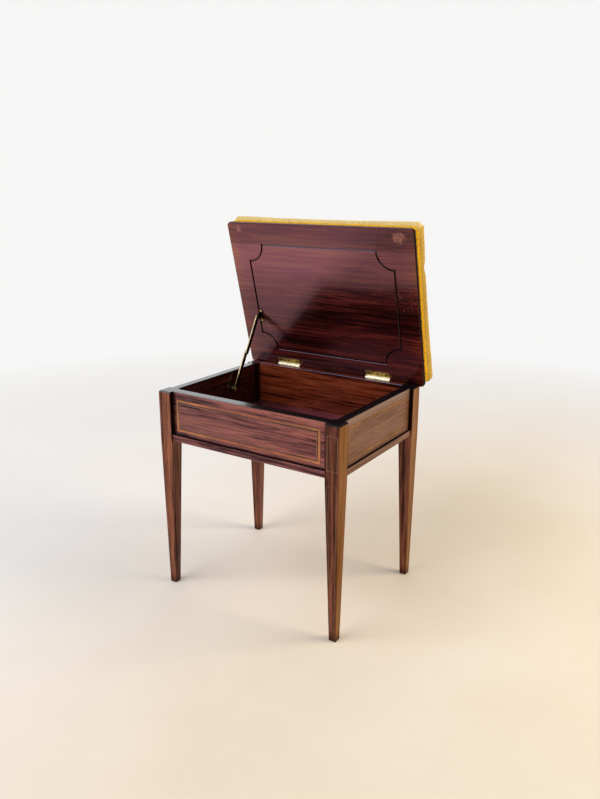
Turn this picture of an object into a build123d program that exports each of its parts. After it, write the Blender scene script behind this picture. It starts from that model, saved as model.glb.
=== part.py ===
from build123d import *
import math
import os

# Piano stool with a box seat: an upholstered lid on two hinges over a music compartment,
# held open by a folding stay on the left. Millimetres, +Z up, +X along the front to the right,
# +Y to the back. The pieces are built about the middle of the four legs and moved at the end,
# so that the origin lies on the floor under the middle of the stool's overall box.

# Driving dimensions of the legs and the box
STOOL_WIDTH = 448.0      # over the outer faces of the legs
STOOL_DEPTH = 346.0      # over the outer faces of the legs
BOX_HEIGHT = 456.0       # from the floor to the rim
LEG_SIZE = 32.0          # square section at the top
FOOT_SIZE = 16.0         # square section at the floor
FOOT_TOE_IN = 4.0        # how far the outer leg faces draw in at the floor
TAPER_DROP = 2.0         # the taper starts this far under the lower rails
LEG_BEVEL = 3.0          # outer edges of the leg tops
FOOT_BEVEL = 1.2
APRON_HEIGHT = 95.0
LEG_ARRIS = 0.8          # long edges of the legs
FRONT_SETBACK = 9.0      # front apron behind the leg faces
FRONT_THICKNESS = 20.0
SIDE_SETBACK = 8.0       # side aprons behind the leg faces
SIDE_THICKNESS = 18.0
APRON_BEVEL = 1.2        # outer top edge of the aprons
BACK_SETBACK = 3.0       # the back apron stands further out, to carry the hinges
BACK_THICKNESS = 22.0
RAIL_HEIGHT = 15.0
RAIL_SETBACK = 3.0       # lower rails behind the leg faces
RAIL_ROUND = 2.0         # outer edges of the lower rails
TENON_THICKNESS = 6.0
TENON_LENGTH = 20.0      # front and back aprons and rails
TENON_COVER = 2.5        # wood between an apron's outer face and its tenon
TENON_SHOULDER = 12.0    # apron tenon below the top and above the foot of the apron
RAIL_SHOULDER = 4.0
TENON_WALL = 1.0         # between two tenons that meet in one leg
TENON_FIT = 0.1          # clearance round each tenon
FLOOR_THICKNESS = 6.0
FLOOR_LAP = 8.0          # rebate of the lower rails that holds the floor
FLOOR_FIT = 0.25

# Inlay
INLAY_DEPTH = 1.0
BAND_WIDTH = 5.0
FRONT_BAND_LEFT = 9.5    # front band in from the left leg
FRONT_BAND_RIGHT = 15.0  # and from the right leg
SIDE_BAND_END = 14.0     # side bands in from both legs
BAND_TOP = 16.5          # band below the rim
BAND_FOOT = 8.0          # band above the foot of an apron
LINE_WIDTH = 1.4
LINE_GAP = 2.4           # between the band and the line inside it
STRING_WIDTH = 1.2
STRING_EDGE = 4.0        # leg stringing in from the edges of the leg
STRING_TOP = 23.0        # upper panel below the rim
STRING_FOOT = 22.0       # lower panel above the floor
BLOCK_OVERLAP = 2.0      # upper panel ends this far above the apron's foot
PANEL_DROP = 10.0        # lower panel starts this far under the taper's start

# Lid, seat and hinges
LID_SIDE_LAP = 10.0      # lid beyond the outer faces of the legs
LID_FRONT_LAP = 2.6
LID_THICKNESS = 8.0
LID_CORNER = 8.0
LID_ROUND = 2.0          # outer edges of the lid's underside
LID_GAP = 0.4            # between the closed lid and the rim
LID_BACK_LAP = 5.0       # lid behind the hinge axis
OPEN_ANGLE = 75.4        # how far the stay lets the lid open
GROOVE_MARGIN = 49.0     # groove in from the front and the sides of the lid
GROOVE_BACK = 44.5       # and from its back edge
GROOVE_CORNER = 40.0
GROOVE_WIDTH = 4.5
GROOVE_DEPTH = 3.0
AXIS_CLEAR = 0.2         # hinge axis behind the back faces of the legs
HINGE_INSET = 103.5      # middle of a hinge in from the outer faces of the legs
HINGE_LENGTH = 61.0
HINGE_LEAF = 17.5        # from the axis to the edge of a leaf
LEAF_THICKNESS = 1.6
LEAF_FIT = 0.1
KNUCKLE_RADIUS = 3.0
KNUCKLE_COUNT = 5
KNUCKLE_GAP = 0.3
KNUCKLE_CLEAR = 0.4
HINGE_PIN_RADIUS = 1.25
PIN_FIT = 0.05           # running clearance of every pivot
SEAT_INSET = 2.0         # seat in from the edges of the lid
SEAT_CORNER = 12.0
SEAT_WALL = 17.0         # upright part of the seat's side, under the braid
SEAT_CROWN = 56.0        # height of the seat's middle above the lid
SEAT_ROLL = 17.5         # radius of the rolled edge above the braid
ROLL_START = -45.0       # the edge swells out over the braid
ROLL_END = 80.0          # and turns over to the top
SEAT_FLAT = 24.0         # half depth of the nearly flat middle
SEAT_DRAW = 2.0          # how far the upper edge draws in between the corners
BASE_DRAW = 0.8          # the same at the braid
ROLL_STEPS = 5
CROWN_STEPS = 4
COVER_THICKNESS = 2.0
SOFT_GAP = 0.3
BRAID_WIDTH = 16.0
BRAID_THICKNESS = 1.6

# Stay
STAY_LID_REACH = 124.0   # hinge axis to the stay's pivot on the lid
STAY_LID_DROP = 8.0      # that pivot below the underside of the lid
STAY_BOX_REACH = 127.0   # hinge axis to the stay's pivot on the box
STAY_BOX_DROP = 42.5     # that pivot below the rim
ARM_WIDTH = 10.0
ARM_THICKNESS = 2.5
STAY_GAP = 0.3           # between stay pieces side by side
STAY_PLATE = 1.5
STAY_PIN_RADIUS = 2.0
STAY_HEAD_RADIUS = 4.0
STAY_HEAD_HEIGHT = 1.6
EAR_RADIUS = 6.5
EAR_THICKNESS = 2.0
BRACKET_LENGTH = 34.0
BRACKET_WIDTH = 10.0
BRACKET_SCREWS = 24.0    # between the two screws of the lid bracket
BOSS_RADIUS = 5.5        # boss that carries the lower arm clear of the box
PLATE_LENGTH = 23.0
PLATE_HEIGHT = 15.0
PLATE_BACK = 8.0         # box plate behind its pivot
PLATE_SCREWS = 7.5       # between the two screws of the box plate
PLATE_SCREW_EDGE = 4.5
PLATE_CORNER = 3.0

# Screws
SCREW_HEAD_RADIUS = 2.6
SCREW_HEAD_HEIGHT = 1.3
SCREW_RADIUS = 1.3
SCREW_SLOT = 0.7
SCREW_SLOT_DEPTH = 0.6
LID_SCREW = 7.0          # length under the head's face
BOX_SCREW = 13.0
HINGE_SCREW_ROW = 10.5   # hinge axis to the row of screws
HINGE_SCREW_PITCH = 22.0

# Places worked out from the driving dimensions
HALF_W = STOOL_WIDTH / 2
HALF_D = STOOL_DEPTH / 2
LEG_IN_X = HALF_W - LEG_SIZE
LEG_IN_Y = HALF_D - LEG_SIZE
APRON_FOOT = BOX_HEIGHT - APRON_HEIGHT
RAIL_FOOT = APRON_FOOT - RAIL_HEIGHT
TAPER_TOP = RAIL_FOOT - TAPER_DROP
APRON_OUT_X = HALF_W - SIDE_SETBACK
APRON_IN_X = APRON_OUT_X - SIDE_THICKNESS
APRON_OUT_Y = HALF_D - FRONT_SETBACK
APRON_IN_Y = APRON_OUT_Y - FRONT_THICKNESS
BACK_OUT = HALF_D - BACK_SETBACK
BACK_IN = BACK_OUT - BACK_THICKNESS
FRONT_TENON = APRON_OUT_Y - TENON_COVER
BACK_TENON = BACK_OUT - TENON_COVER
SIDE_TENON = (APRON_OUT_X + APRON_IN_X + TENON_THICKNESS) / 2
TENON_TOP = BOX_HEIGHT - TENON_SHOULDER
TENON_FOOT = APRON_FOOT + TENON_SHOULDER
AXIS_Y = HALF_D + AXIS_CLEAR
AXIS_Z = BOX_HEIGHT + LID_GAP / 2
LID_UNDER = BOX_HEIGHT + LID_GAP
LID_TOP = LID_UNDER + LID_THICKNESS
LID_BACK = AXIS_Y + LID_BACK_LAP
LID_WIDTH = STOOL_WIDTH + 2 * LID_SIDE_LAP
LID_DEPTH = LID_BACK + HALF_D + LID_FRONT_LAP
LID_MID_Y = LID_BACK - LID_DEPTH / 2
HINGE_AXIS = Axis((0, AXIS_Y, AXIS_Z), (1, 0, 0))
HINGE_SPACING = STOOL_WIDTH - 2 * HINGE_INSET
HINGE_PLACES = {"left": -HINGE_SPACING / 2, "right": HINGE_SPACING / 2}
PLATE_X = -APRON_IN_X
LOWER_ARM_X = -LEG_IN_X + STAY_PLATE + STAY_GAP
UPPER_ARM_X = LOWER_ARM_X + ARM_THICKNESS + STAY_GAP
EAR_X = UPPER_ARM_X + ARM_THICKNESS + STAY_GAP
BRACKET_UNDER = LID_UNDER - STAY_PLATE
LID_PIVOT = (AXIS_Y - STAY_LID_REACH, LID_UNDER - STAY_LID_DROP)
BOX_PIVOT = (AXIS_Y - STAY_BOX_REACH, BOX_HEIGHT - STAY_BOX_DROP)

parts = {}


def block(low, high):
    """A box between two corners."""
    size = [b - a for a, b in zip(low, high)]
    middle = [(a + b) / 2 for a, b in zip(low, high)]
    return Pos(*middle) * Box(*size)


def rod(x_low, x_high, point, radius):
    """A round bar along X through a point (y, z)."""
    plane = Plane(origin=(x_low, *point), x_dir=(0, 1, 0), z_dir=(1, 0, 0))
    return plane * Cylinder(radius, x_high - x_low, align=(Align.CENTER, Align.CENTER, Align.MIN))


def group(pieces):
    """Several separate solids kept together as one piece."""
    whole = pieces[0]
    for piece in pieces[1:]:
        whole = whole + piece
    return whole


def opened(shape):
    """Swings a piece of the closed lid up to the lid's open position."""
    return shape.rotate(HINGE_AXIS, -OPEN_ANGLE)


# Legs

def leg_section(size):
    """Square section of a leg with its corners broken."""
    square = Rectangle(size, size)
    return chamfer(square.vertices(), LEG_ARRIS)


def top_bevel(plane, face, length):
    """Wedge that bevels the leg tops along one outer face of the stool."""
    outward = 1 if face > 0 else -1
    beyond = face + outward * LEG_BEVEL
    corners = [(beyond, BOX_HEIGHT - 2 * LEG_BEVEL), (beyond, BOX_HEIGHT + LEG_BEVEL),
               (face - outward * 2 * LEG_BEVEL, BOX_HEIGHT + LEG_BEVEL)]
    wedge = make_face(Polyline(*corners, close=True))
    return extrude(plane * wedge, length, both=True)


def leg_blank(side, end):
    """One square leg, tapered below the rails; side and end are -1 or 1 along X and Y."""
    top_x = side * (HALF_W - LEG_SIZE / 2)
    top_y = end * (HALF_D - LEG_SIZE / 2)
    foot_x = side * (HALF_W - FOOT_TOE_IN - FOOT_SIZE / 2)
    foot_y = end * (HALF_D - FOOT_TOE_IN - FOOT_SIZE / 2)
    start = Pos(top_x, top_y, TAPER_TOP) * leg_section(LEG_SIZE)
    foot = Pos(foot_x, foot_y, 0) * leg_section(FOOT_SIZE)
    leg = extrude(start, BOX_HEIGHT - TAPER_TOP) + loft([foot, start], ruled=True)
    leg = chamfer(leg.edges().filter_by_position(Axis.Z, 0, 0), FOOT_BEVEL)
    leg -= top_bevel(Plane.XZ, side * HALF_W, STOOL_DEPTH)
    return leg - top_bevel(Plane.YZ, end * HALF_D, STOOL_WIDTH)


def leg_edges(z):
    """Outer and inner edge of a leg's front face, from the middle plane, at height z."""
    share = max(0.0, (TAPER_TOP - z) / TAPER_TOP)
    outer = HALF_W - FOOT_TOE_IN * share
    inner = LEG_IN_X + (LEG_SIZE - FOOT_SIZE - FOOT_TOE_IN) * share
    return outer, inner


def string_frame(side, z_low, z_high):
    """Outline of a panel of stringing on a leg's front face, as a thin frame cut right through."""
    frames = []
    for inset in (STRING_EDGE, STRING_EDGE + STRING_WIDTH):
        step = inset - STRING_EDGE
        low_out, low_in = leg_edges(z_low + step)
        high_out, high_in = leg_edges(z_high - step)
        corners = [(side * (low_out - inset), z_low + step), (side * (high_out - inset), z_high - step),
                   (side * (high_in + inset), z_high - step), (side * (low_in + inset), z_low + step)]
        outline = make_face(Polyline(*corners, close=True))
        frames.append(extrude(Plane.XZ * outline, STOOL_DEPTH))
    return frames[0] - frames[1]


def leg_stringing(leg, side):
    """Boxwood lines let into a front leg's face: a panel on the block and one down the taper."""
    skin = leg - Pos(0, INLAY_DEPTH, 0) * leg
    block_panel = string_frame(side, APRON_FOOT + BLOCK_OVERLAP, BOX_HEIGHT - STRING_TOP)
    long_panel = string_frame(side, STRING_FOOT, TAPER_TOP - PANEL_DROP)
    return (skin & block_panel) + (skin & long_panel)


# Aprons, rails and floor

def long_tenon(end_face, low, high, side, fit=0.0):
    """Tenon of a front or back piece into a leg, with its outer face at end_face along Y."""
    inward = -1 if end_face > 0 else 1
    faces = sorted((end_face - inward * fit, end_face + inward * (TENON_THICKNESS + fit)))
    reach = sorted((side * LEG_IN_X, side * (LEG_IN_X + TENON_LENGTH + fit)))
    return block((reach[0], faces[0], low - fit), (reach[1], faces[1], high + fit))


def side_tenon(side, low, high, end, fit=0.0):
    """Tenon of a side piece into a leg, stopping short of the tenon that crosses it."""
    crossing = BACK_TENON if end > 0 else FRONT_TENON
    stop = crossing - TENON_THICKNESS - TENON_WALL + fit
    reach = sorted((end * LEG_IN_Y, end * stop))
    faces = sorted((side * (SIDE_TENON - TENON_THICKNESS - fit), side * (SIDE_TENON + fit)))
    return block((faces[0], reach[0], low - fit), (faces[1], reach[1], high + fit))


def mortises(side, end):
    """All the room that tenons take in one leg."""
    face = BACK_TENON if end > 0 else -FRONT_TENON
    room = long_tenon(face, TENON_FOOT, TENON_TOP, side, TENON_FIT)
    room += side_tenon(side, TENON_FOOT, TENON_TOP, end, TENON_FIT)
    room += long_tenon(face, RAIL_FOOT + RAIL_SHOULDER, APRON_FOOT - RAIL_SHOULDER, side, TENON_FIT)
    room += side_tenon(side, RAIL_FOOT + RAIL_SHOULDER, APRON_FOOT - RAIL_SHOULDER, end, TENON_FIT)
    return room


def bevel_top(piece, axis, direction):
    """Breaks the outer top edge of an apron."""
    rim = piece.edges().filter_by_position(Axis.Z, BOX_HEIGHT, BOX_HEIGHT)
    edge = rim.sort_by(axis)[-1 if direction > 0 else 0]
    return chamfer(edge, APRON_BEVEL)


def front_apron():
    board = block((-LEG_IN_X, -APRON_OUT_Y, APRON_FOOT), (LEG_IN_X, -APRON_IN_Y, BOX_HEIGHT))
    board = bevel_top(board, Axis.Y, -1)
    for side in (-1, 1):
        board += long_tenon(-FRONT_TENON, TENON_FOOT, TENON_TOP, side)
    return board


def back_apron():
    """Plain board with a rebate for each hinge leaf and a hollow for each knuckle."""
    board = block((-LEG_IN_X, BACK_IN, APRON_FOOT), (LEG_IN_X, BACK_OUT, BOX_HEIGHT))
    for side in (-1, 1):
        board += long_tenon(BACK_TENON, TENON_FOOT, TENON_TOP, side)
    half = HINGE_LENGTH / 2 + LEAF_FIT
    for place in HINGE_PLACES.values():
        board -= block((place - half, AXIS_Y - HINGE_LEAF - LEAF_FIT, BOX_HEIGHT - LEAF_THICKNESS),
                       (place + half, AXIS_Y, BOX_HEIGHT))
        board -= rod(place - half, place + half, (AXIS_Y, AXIS_Z), KNUCKLE_RADIUS + KNUCKLE_CLEAR)
    return board


def side_apron(side):
    faces = sorted((side * APRON_IN_X, side * APRON_OUT_X))
    board = block((faces[0], -LEG_IN_Y, APRON_FOOT), (faces[1], LEG_IN_Y, BOX_HEIGHT))
    board = bevel_top(board, Axis.X, side)
    for end in (-1, 1):
        board += side_tenon(side, TENON_FOOT, TENON_TOP, end)
    return board


def ring(plane, low, high, width, depth):
    """A flat rectangular frame let into a face: low and high are corners in the plane."""
    size = (high[0] - low[0], high[1] - low[1])
    middle = Pos((low[0] + high[0]) / 2, (low[1] + high[1]) / 2)
    frame = Rectangle(*size) - Rectangle(size[0] - 2 * width, size[1] - 2 * width)
    return extrude(plane * (middle * frame), -depth)


def inlay(plane, half_length, left, right):
    """Broad band and thin line on an apron's face, left and right in from its ends as seen from outside."""
    low = (-half_length + left, APRON_FOOT + BAND_FOOT)
    high = (half_length - right, BOX_HEIGHT - BAND_TOP)
    step = BAND_WIDTH + LINE_GAP
    line_low = (low[0] + step, low[1] + step)
    line_high = (high[0] - step, high[1] - step)
    band = ring(plane, low, high, BAND_WIDTH, INLAY_DEPTH)
    line = ring(plane, line_low, line_high, LINE_WIDTH, INLAY_DEPTH)
    return band, line


def round_rail(rail, axis, direction):
    """Rounds the two outer long edges of a lower rail."""
    face = rail.faces().sort_by(axis)[-1 if direction > 0 else 0]
    along = Axis.X if axis == Axis.Y else Axis.Y
    return fillet(face.edges().filter_by(along), RAIL_ROUND)


def long_rail(end):
    """Front or back lower rail, rebated inside for the floor."""
    outer = end * (HALF_D - RAIL_SETBACK)
    inner = BACK_IN if end > 0 else -APRON_IN_Y
    faces = sorted((outer, inner))
    rail = block((-LEG_IN_X, faces[0], RAIL_FOOT), (LEG_IN_X, faces[1], APRON_FOOT))
    rail = round_rail(rail, Axis.Y, end)
    rebate = sorted((inner, inner + end * FLOOR_LAP))
    rail -= block((-LEG_IN_X, rebate[0], APRON_FOOT - FLOOR_THICKNESS), (LEG_IN_X, rebate[1], APRON_FOOT))
    face = BACK_TENON if end > 0 else -FRONT_TENON
    for side in (-1, 1):
        rail += long_tenon(face, RAIL_FOOT + RAIL_SHOULDER, APRON_FOOT - RAIL_SHOULDER, side)
    return rail


def side_rail(side):
    """Left or right lower rail, rebated inside for the floor."""
    faces = sorted((side * APRON_IN_X, side * (HALF_W - RAIL_SETBACK)))
    rail = block((faces[0], -LEG_IN_Y, RAIL_FOOT), (faces[1], LEG_IN_Y, APRON_FOOT))
    rail = round_rail(rail, Axis.X, side)
    rebate = sorted((side * APRON_IN_X, side * (APRON_IN_X + FLOOR_LAP)))
    rail -= block((rebate[0], -LEG_IN_Y, APRON_FOOT - FLOOR_THICKNESS), (rebate[1], LEG_IN_Y, APRON_FOOT))
    for end in (-1, 1):
        rail += side_tenon(side, RAIL_FOOT + RAIL_SHOULDER, APRON_FOOT - RAIL_SHOULDER, end)
    return rail


def compartment_floor():
    """Thin board held in the rails' rebates under the aprons, notched round the legs."""
    reach_x = APRON_IN_X + FLOOR_LAP - FLOOR_FIT
    front = -(APRON_IN_Y + FLOOR_LAP - FLOOR_FIT)
    back = BACK_IN + FLOOR_LAP - FLOOR_FIT
    low = APRON_FOOT - FLOOR_THICKNESS
    board = block((-reach_x, front, low), (reach_x, back, APRON_FOOT))
    for side in (-1, 1):
        edge = sorted((side * (LEG_IN_X - FLOOR_FIT), side * HALF_W))
        board -= block((edge[0], -HALF_D, low), (edge[1], -(LEG_IN_Y - FLOOR_FIT), APRON_FOOT))
        board -= block((edge[0], LEG_IN_Y - FLOOR_FIT, low), (edge[1], HALF_D, APRON_FOOT))
    return board


# Screws

def screw(length):
    """Slotted countersunk wood screw, head's face at the origin, pointing down."""
    half = [(0, 0), (SCREW_HEAD_RADIUS, 0), (SCREW_RADIUS, -SCREW_HEAD_HEIGHT),
            (SCREW_RADIUS, -length + SCREW_RADIUS), (0, -length)]
    body = revolve(Plane.XZ * make_face(Polyline(*half, close=True)), Axis.Z)
    slot = block((-SCREW_HEAD_RADIUS, -SCREW_SLOT / 2, -SCREW_SLOT_DEPTH),
                 (SCREW_HEAD_RADIUS, SCREW_SLOT / 2, 0))
    return body, body - slot


def screw_group(places, length):
    """The holes and the screws at a list of places."""
    hole, driven = screw(length)
    return [place * hole for place in places], [place * driven for place in places]


# Hinges, built closed

def hinge_leaf(place, low, high, own):
    """A leaf with its own knuckles, cleared round the other leaf's knuckles."""
    left = place - HINGE_LENGTH / 2
    leaf = block((left, AXIS_Y - HINGE_LEAF, low), (left + HINGE_LENGTH, AXIS_Y, high))
    pitch = HINGE_LENGTH / KNUCKLE_COUNT
    for index in range(KNUCKLE_COUNT):
        start = left + index * pitch
        if index % 2 == own:
            leaf += rod(start + KNUCKLE_GAP / 2, start + pitch - KNUCKLE_GAP / 2, (AXIS_Y, AXIS_Z), KNUCKLE_RADIUS)
        else:
            leaf -= rod(start - KNUCKLE_GAP / 2, start + pitch + KNUCKLE_GAP / 2, (AXIS_Y, AXIS_Z),
                        KNUCKLE_RADIUS + KNUCKLE_CLEAR)
    bore = HINGE_PIN_RADIUS + PIN_FIT
    return leaf - rod(left - KNUCKLE_GAP, left + HINGE_LENGTH + KNUCKLE_GAP, (AXIS_Y, AXIS_Z), bore)


def hinge_screw_places(place, z, turn):
    offsets = (-HINGE_SCREW_PITCH, 0, HINGE_SCREW_PITCH)
    return [Pos(place + offset, AXIS_Y - HINGE_SCREW_ROW, z) * Rot(turn, 0, 0) for offset in offsets]


# Lid and seat, built closed

def groove_outline(half_x, half_y, grow):
    """Rectangle with scooped corners, moved outwards by grow."""
    radius = GROOVE_CORNER - grow
    back_off = math.sqrt(radius ** 2 - grow ** 2)
    lean = radius / math.sqrt(2)
    edges = []
    corners = [(1, 1), (-1, 1), (-1, -1), (1, -1)]
    for index, (sx, sy) in enumerate(corners):
        on_long = (sx * (half_x - back_off), sy * (half_y + grow))
        on_short = (sx * (half_x + grow), sy * (half_y - back_off))
        middle = (sx * (half_x - lean), sy * (half_y - lean))
        edges.append(ThreePointArc(on_long, middle, on_short))
        next_x, next_y = corners[(index + 1) % len(corners)]
        if next_y == sy:
            edges.append(Line(on_long, (next_x * (half_x - back_off), on_long[1])))
        else:
            edges.append(Line(on_short, (on_short[0], next_y * (half_y - back_off))))
    return make_face(Wire(edges))


def lid_board():
    """Board with rounded corners, a scooped groove below and pockets for the hinges."""
    blank = extrude(Pos(0, LID_MID_Y, LID_UNDER) * RectangleRounded(LID_WIDTH, LID_DEPTH, LID_CORNER), LID_THICKNESS)
    blank = fillet(blank.edges().filter_by_position(Axis.Z, LID_UNDER, LID_UNDER), LID_ROUND)
    half_x = LID_WIDTH / 2 - GROOVE_MARGIN
    half_y = (LID_DEPTH - GROOVE_MARGIN - GROOVE_BACK) / 2
    middle = Pos(0, LID_MID_Y + (GROOVE_MARGIN - GROOVE_BACK) / 2, LID_UNDER)
    face = groove_outline(half_x, half_y, GROOVE_WIDTH / 2) - groove_outline(half_x, half_y, -GROOVE_WIDTH / 2)
    board = blank - extrude(middle * face, GROOVE_DEPTH)
    half = HINGE_LENGTH / 2 + LEAF_FIT
    knuckle = KNUCKLE_RADIUS + KNUCKLE_CLEAR
    for place in HINGE_PLACES.values():
        board -= block((place - half, AXIS_Y - HINGE_LEAF - LEAF_FIT, LID_UNDER),
                       (place + half, AXIS_Y, LID_UNDER + LEAF_THICKNESS))
        board -= block((place - half, AXIS_Y - knuckle, LID_UNDER), (place + half, LID_BACK, AXIS_Z + knuckle))
    return board


def seat_outline(inset, draw):
    """Plan of the seat: rounded corners and sides bowed in by draw between them."""
    half_x = LID_WIDTH / 2 - SEAT_INSET - inset
    half_y = LID_DEPTH / 2 - SEAT_INSET - inset
    lean = SEAT_CORNER * (1 - 1 / math.sqrt(2))
    edges = []
    corners = [(1, 1), (-1, 1), (-1, -1), (1, -1)]
    for index, (sx, sy) in enumerate(corners):
        on_long = (sx * (half_x - SEAT_CORNER), sy * half_y)
        on_short = (sx * half_x, sy * (half_y - SEAT_CORNER))
        edges.append(ThreePointArc(on_long, (sx * (half_x - lean), sy * (half_y - lean)), on_short))
        next_x, next_y = corners[(index + 1) % len(corners)]
        if next_y == sy:
            far = (next_x * (half_x - SEAT_CORNER), on_long[1])
            edges.append(ThreePointArc(on_long, (0, on_long[1] - sy * draw), far))
        else:
            far = (on_short[0], next_y * (half_y - SEAT_CORNER))
            edges.append(ThreePointArc(on_short, (on_short[0] - sx * draw, 0), far))
    return make_face(Wire(edges))


def seat_form(shrink):
    """The seat's crowned form above the lid, or one that lies inside it by shrink."""
    wall = extrude(Pos(0, LID_MID_Y, LID_TOP) * seat_outline(shrink, BASE_DRAW), SEAT_WALL)
    stages = []
    start = math.radians(ROLL_START)
    for step in range(ROLL_STEPS + 1):
        turn = start + math.radians(ROLL_END - ROLL_START) * step / ROLL_STEPS
        inset = SEAT_ROLL * (math.cos(start) - math.cos(turn))
        stages.append((inset, SEAT_ROLL * (math.sin(turn) - math.sin(start))))
    edge_inset, edge_rise = stages[-1]
    run = LID_DEPTH / 2 - SEAT_INSET - SEAT_FLAT - edge_inset
    rise = SEAT_CROWN - SEAT_WALL - edge_rise
    for step in range(1, CROWN_STEPS + 1):
        share = step / CROWN_STEPS
        stages.append((edge_inset + run * share, edge_rise + rise * (1 - (1 - share) ** 2)))
    sections = []
    for inset, level in stages:
        draw = BASE_DRAW + (SEAT_DRAW - BASE_DRAW) * min(1.0, level / SEAT_ROLL)
        lower = shrink * min(1.0, level / SEAT_ROLL)
        place = Pos(0, LID_MID_Y, LID_TOP + SEAT_WALL + level - lower)
        sections.append(place * seat_outline(shrink + inset, draw))
    return wall + loft(sections, ruled=True)


def braid():
    """Woven braid round the foot of the seat."""
    place = Pos(0, LID_MID_Y, LID_TOP)
    outside = extrude(place * seat_outline(-BRAID_THICKNESS, BASE_DRAW), BRAID_WIDTH)
    return outside - extrude(place * seat_outline(0, BASE_DRAW), BRAID_WIDTH)


# Stay

def arm(start, end, x_low):
    """A flat bar with round ends between two points (y, z)."""
    span = math.dist(start, end)
    middle = ((start[0] + end[0]) / 2, (start[1] + end[1]) / 2)
    along = (0, end[0] - start[0], end[1] - start[1])
    plane = Plane(origin=(x_low, *middle), x_dir=along, z_dir=(1, 0, 0))
    return extrude(plane * SlotCenterToCenter(span, ARM_WIDTH), ARM_THICKNESS)


def headed_pin(x_low, x_high, point):
    """A pin along X with a domed head on its right end."""
    head = rod(x_high, x_high + STAY_HEAD_HEIGHT, point, STAY_HEAD_RADIUS)
    rim = head.edges().filter_by(GeomType.CIRCLE).sort_by(Axis.X)[-1]
    dome = chamfer(rim, STAY_HEAD_HEIGHT * 0.5, STAY_HEAD_HEIGHT)
    return rod(x_low, x_high, point, STAY_PIN_RADIUS) + dome


def lid_bracket():
    """Angle bracket under the lid: a screwed plate with a round ear for the pivot."""
    y, z = LID_PIVOT
    middle = Pos(EAR_X + BRACKET_WIDTH / 2, y, BRACKET_UNDER)
    plate = extrude(middle * RectangleRounded(BRACKET_WIDTH, BRACKET_LENGTH, PLATE_CORNER), STAY_PLATE)
    ear = rod(EAR_X, EAR_X + EAR_THICKNESS, LID_PIVOT, EAR_RADIUS)
    ear += block((EAR_X, y - EAR_RADIUS, z), (EAR_X + EAR_THICKNESS, y + EAR_RADIUS, LID_UNDER))
    return plate + ear


def box_plate():
    """Plate on the inside of the left apron, with a boss that carries the lower arm."""
    y, z = BOX_PIVOT
    middle = (PLATE_X, y + PLATE_BACK - PLATE_LENGTH / 2, z)
    plane = Plane(origin=middle, x_dir=(0, 1, 0), z_dir=(1, 0, 0))
    plate = extrude(plane * RectangleRounded(PLATE_LENGTH, PLATE_HEIGHT, PLATE_CORNER), STAY_PLATE)
    return plate + rod(PLATE_X, LOWER_ARM_X - STAY_GAP, BOX_PIVOT, BOSS_RADIUS)


def turned(point, degrees):
    """A point (y, z) turned about the hinge axis."""
    y, z = point[0] - AXIS_Y, point[1] - AXIS_Z
    cosine, sine = math.cos(math.radians(degrees)), math.sin(math.radians(degrees))
    return AXIS_Y + y * cosine - z * sine, AXIS_Z + y * sine + z * cosine


def bearing(start, end):
    """Direction from one point (y, z) to another, in degrees from +Y towards +Z."""
    return math.degrees(math.atan2(end[1] - start[1], end[0] - start[0]))


# Assembly of the frame
LEG_NAMES = {("front", "left"): (-1, -1), ("front", "right"): (1, -1),
             ("back", "left"): (-1, 1), ("back", "right"): (1, 1)}
for (end_name, side_name), (side, end) in LEG_NAMES.items():
    leg = leg_blank(side, end)
    if end < 0:
        strings = leg_stringing(leg, side)
        leg = leg - strings
        parts[f"leg_stringing_{side_name}"] = strings
    parts[f"leg_{end_name}_{side_name}"] = leg - mortises(side, end)

apron_front = front_apron()
front_face = Plane(origin=(0, -APRON_OUT_Y, 0), x_dir=(1, 0, 0), z_dir=(0, -1, 0))
band, line = inlay(front_face, LEG_IN_X, FRONT_BAND_LEFT, FRONT_BAND_RIGHT)
parts["apron_front_band"] = band
parts["apron_front_line"] = line
parts["apron_front"] = apron_front - band - line
for name, side in (("left", -1), ("right", 1)):
    side_face = Plane(origin=(side * APRON_OUT_X, 0, 0), x_dir=(0, side, 0), z_dir=(side, 0, 0))
    band, line = inlay(side_face, LEG_IN_Y, SIDE_BAND_END, SIDE_BAND_END)
    parts[f"apron_{name}_band"] = band
    parts[f"apron_{name}_line"] = line
    parts[f"apron_{name}"] = side_apron(side) - band - line
    parts[f"rail_{name}"] = side_rail(side)
parts["apron_back"] = back_apron()
parts["rail_front"] = long_rail(-1)
parts["rail_back"] = long_rail(1)
parts["compartment_floor"] = compartment_floor()

# Assembly of the lid
board = lid_board()
stuffing = seat_form(COVER_THICKNESS + SOFT_GAP)
parts["seat_stuffing"] = opened(stuffing)
parts["seat_cover"] = opened(seat_form(0) - seat_form(COVER_THICKNESS))
parts["seat_braid"] = opened(braid())
lid_screws = []
box_screws = []
for name, place in HINGE_PLACES.items():
    lid_leaf = hinge_leaf(place, LID_UNDER, LID_UNDER + LEAF_THICKNESS, 1)
    box_leaf = hinge_leaf(place, BOX_HEIGHT - LEAF_THICKNESS, BOX_HEIGHT, 0)
    holes, screws = screw_group(hinge_screw_places(place, LID_UNDER, 180), LID_SCREW)
    for hole in holes:
        lid_leaf -= hole
        board -= hole
    lid_screws += screws
    holes, screws = screw_group(hinge_screw_places(place, BOX_HEIGHT, 0), BOX_SCREW)
    for hole in holes:
        box_leaf -= hole
        parts["apron_back"] -= hole
    box_screws += screws
    parts[f"hinge_{name}_lid_leaf"] = opened(lid_leaf)
    parts[f"hinge_{name}_box_leaf"] = box_leaf
    half = HINGE_LENGTH / 2
    parts[f"hinge_{name}_pin"] = rod(place - half, place + half, (AXIS_Y, AXIS_Z), HINGE_PIN_RADIUS)
parts["hinge_lid_screws"] = opened(group(lid_screws))
parts["hinge_box_screws"] = group(box_screws)

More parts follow.
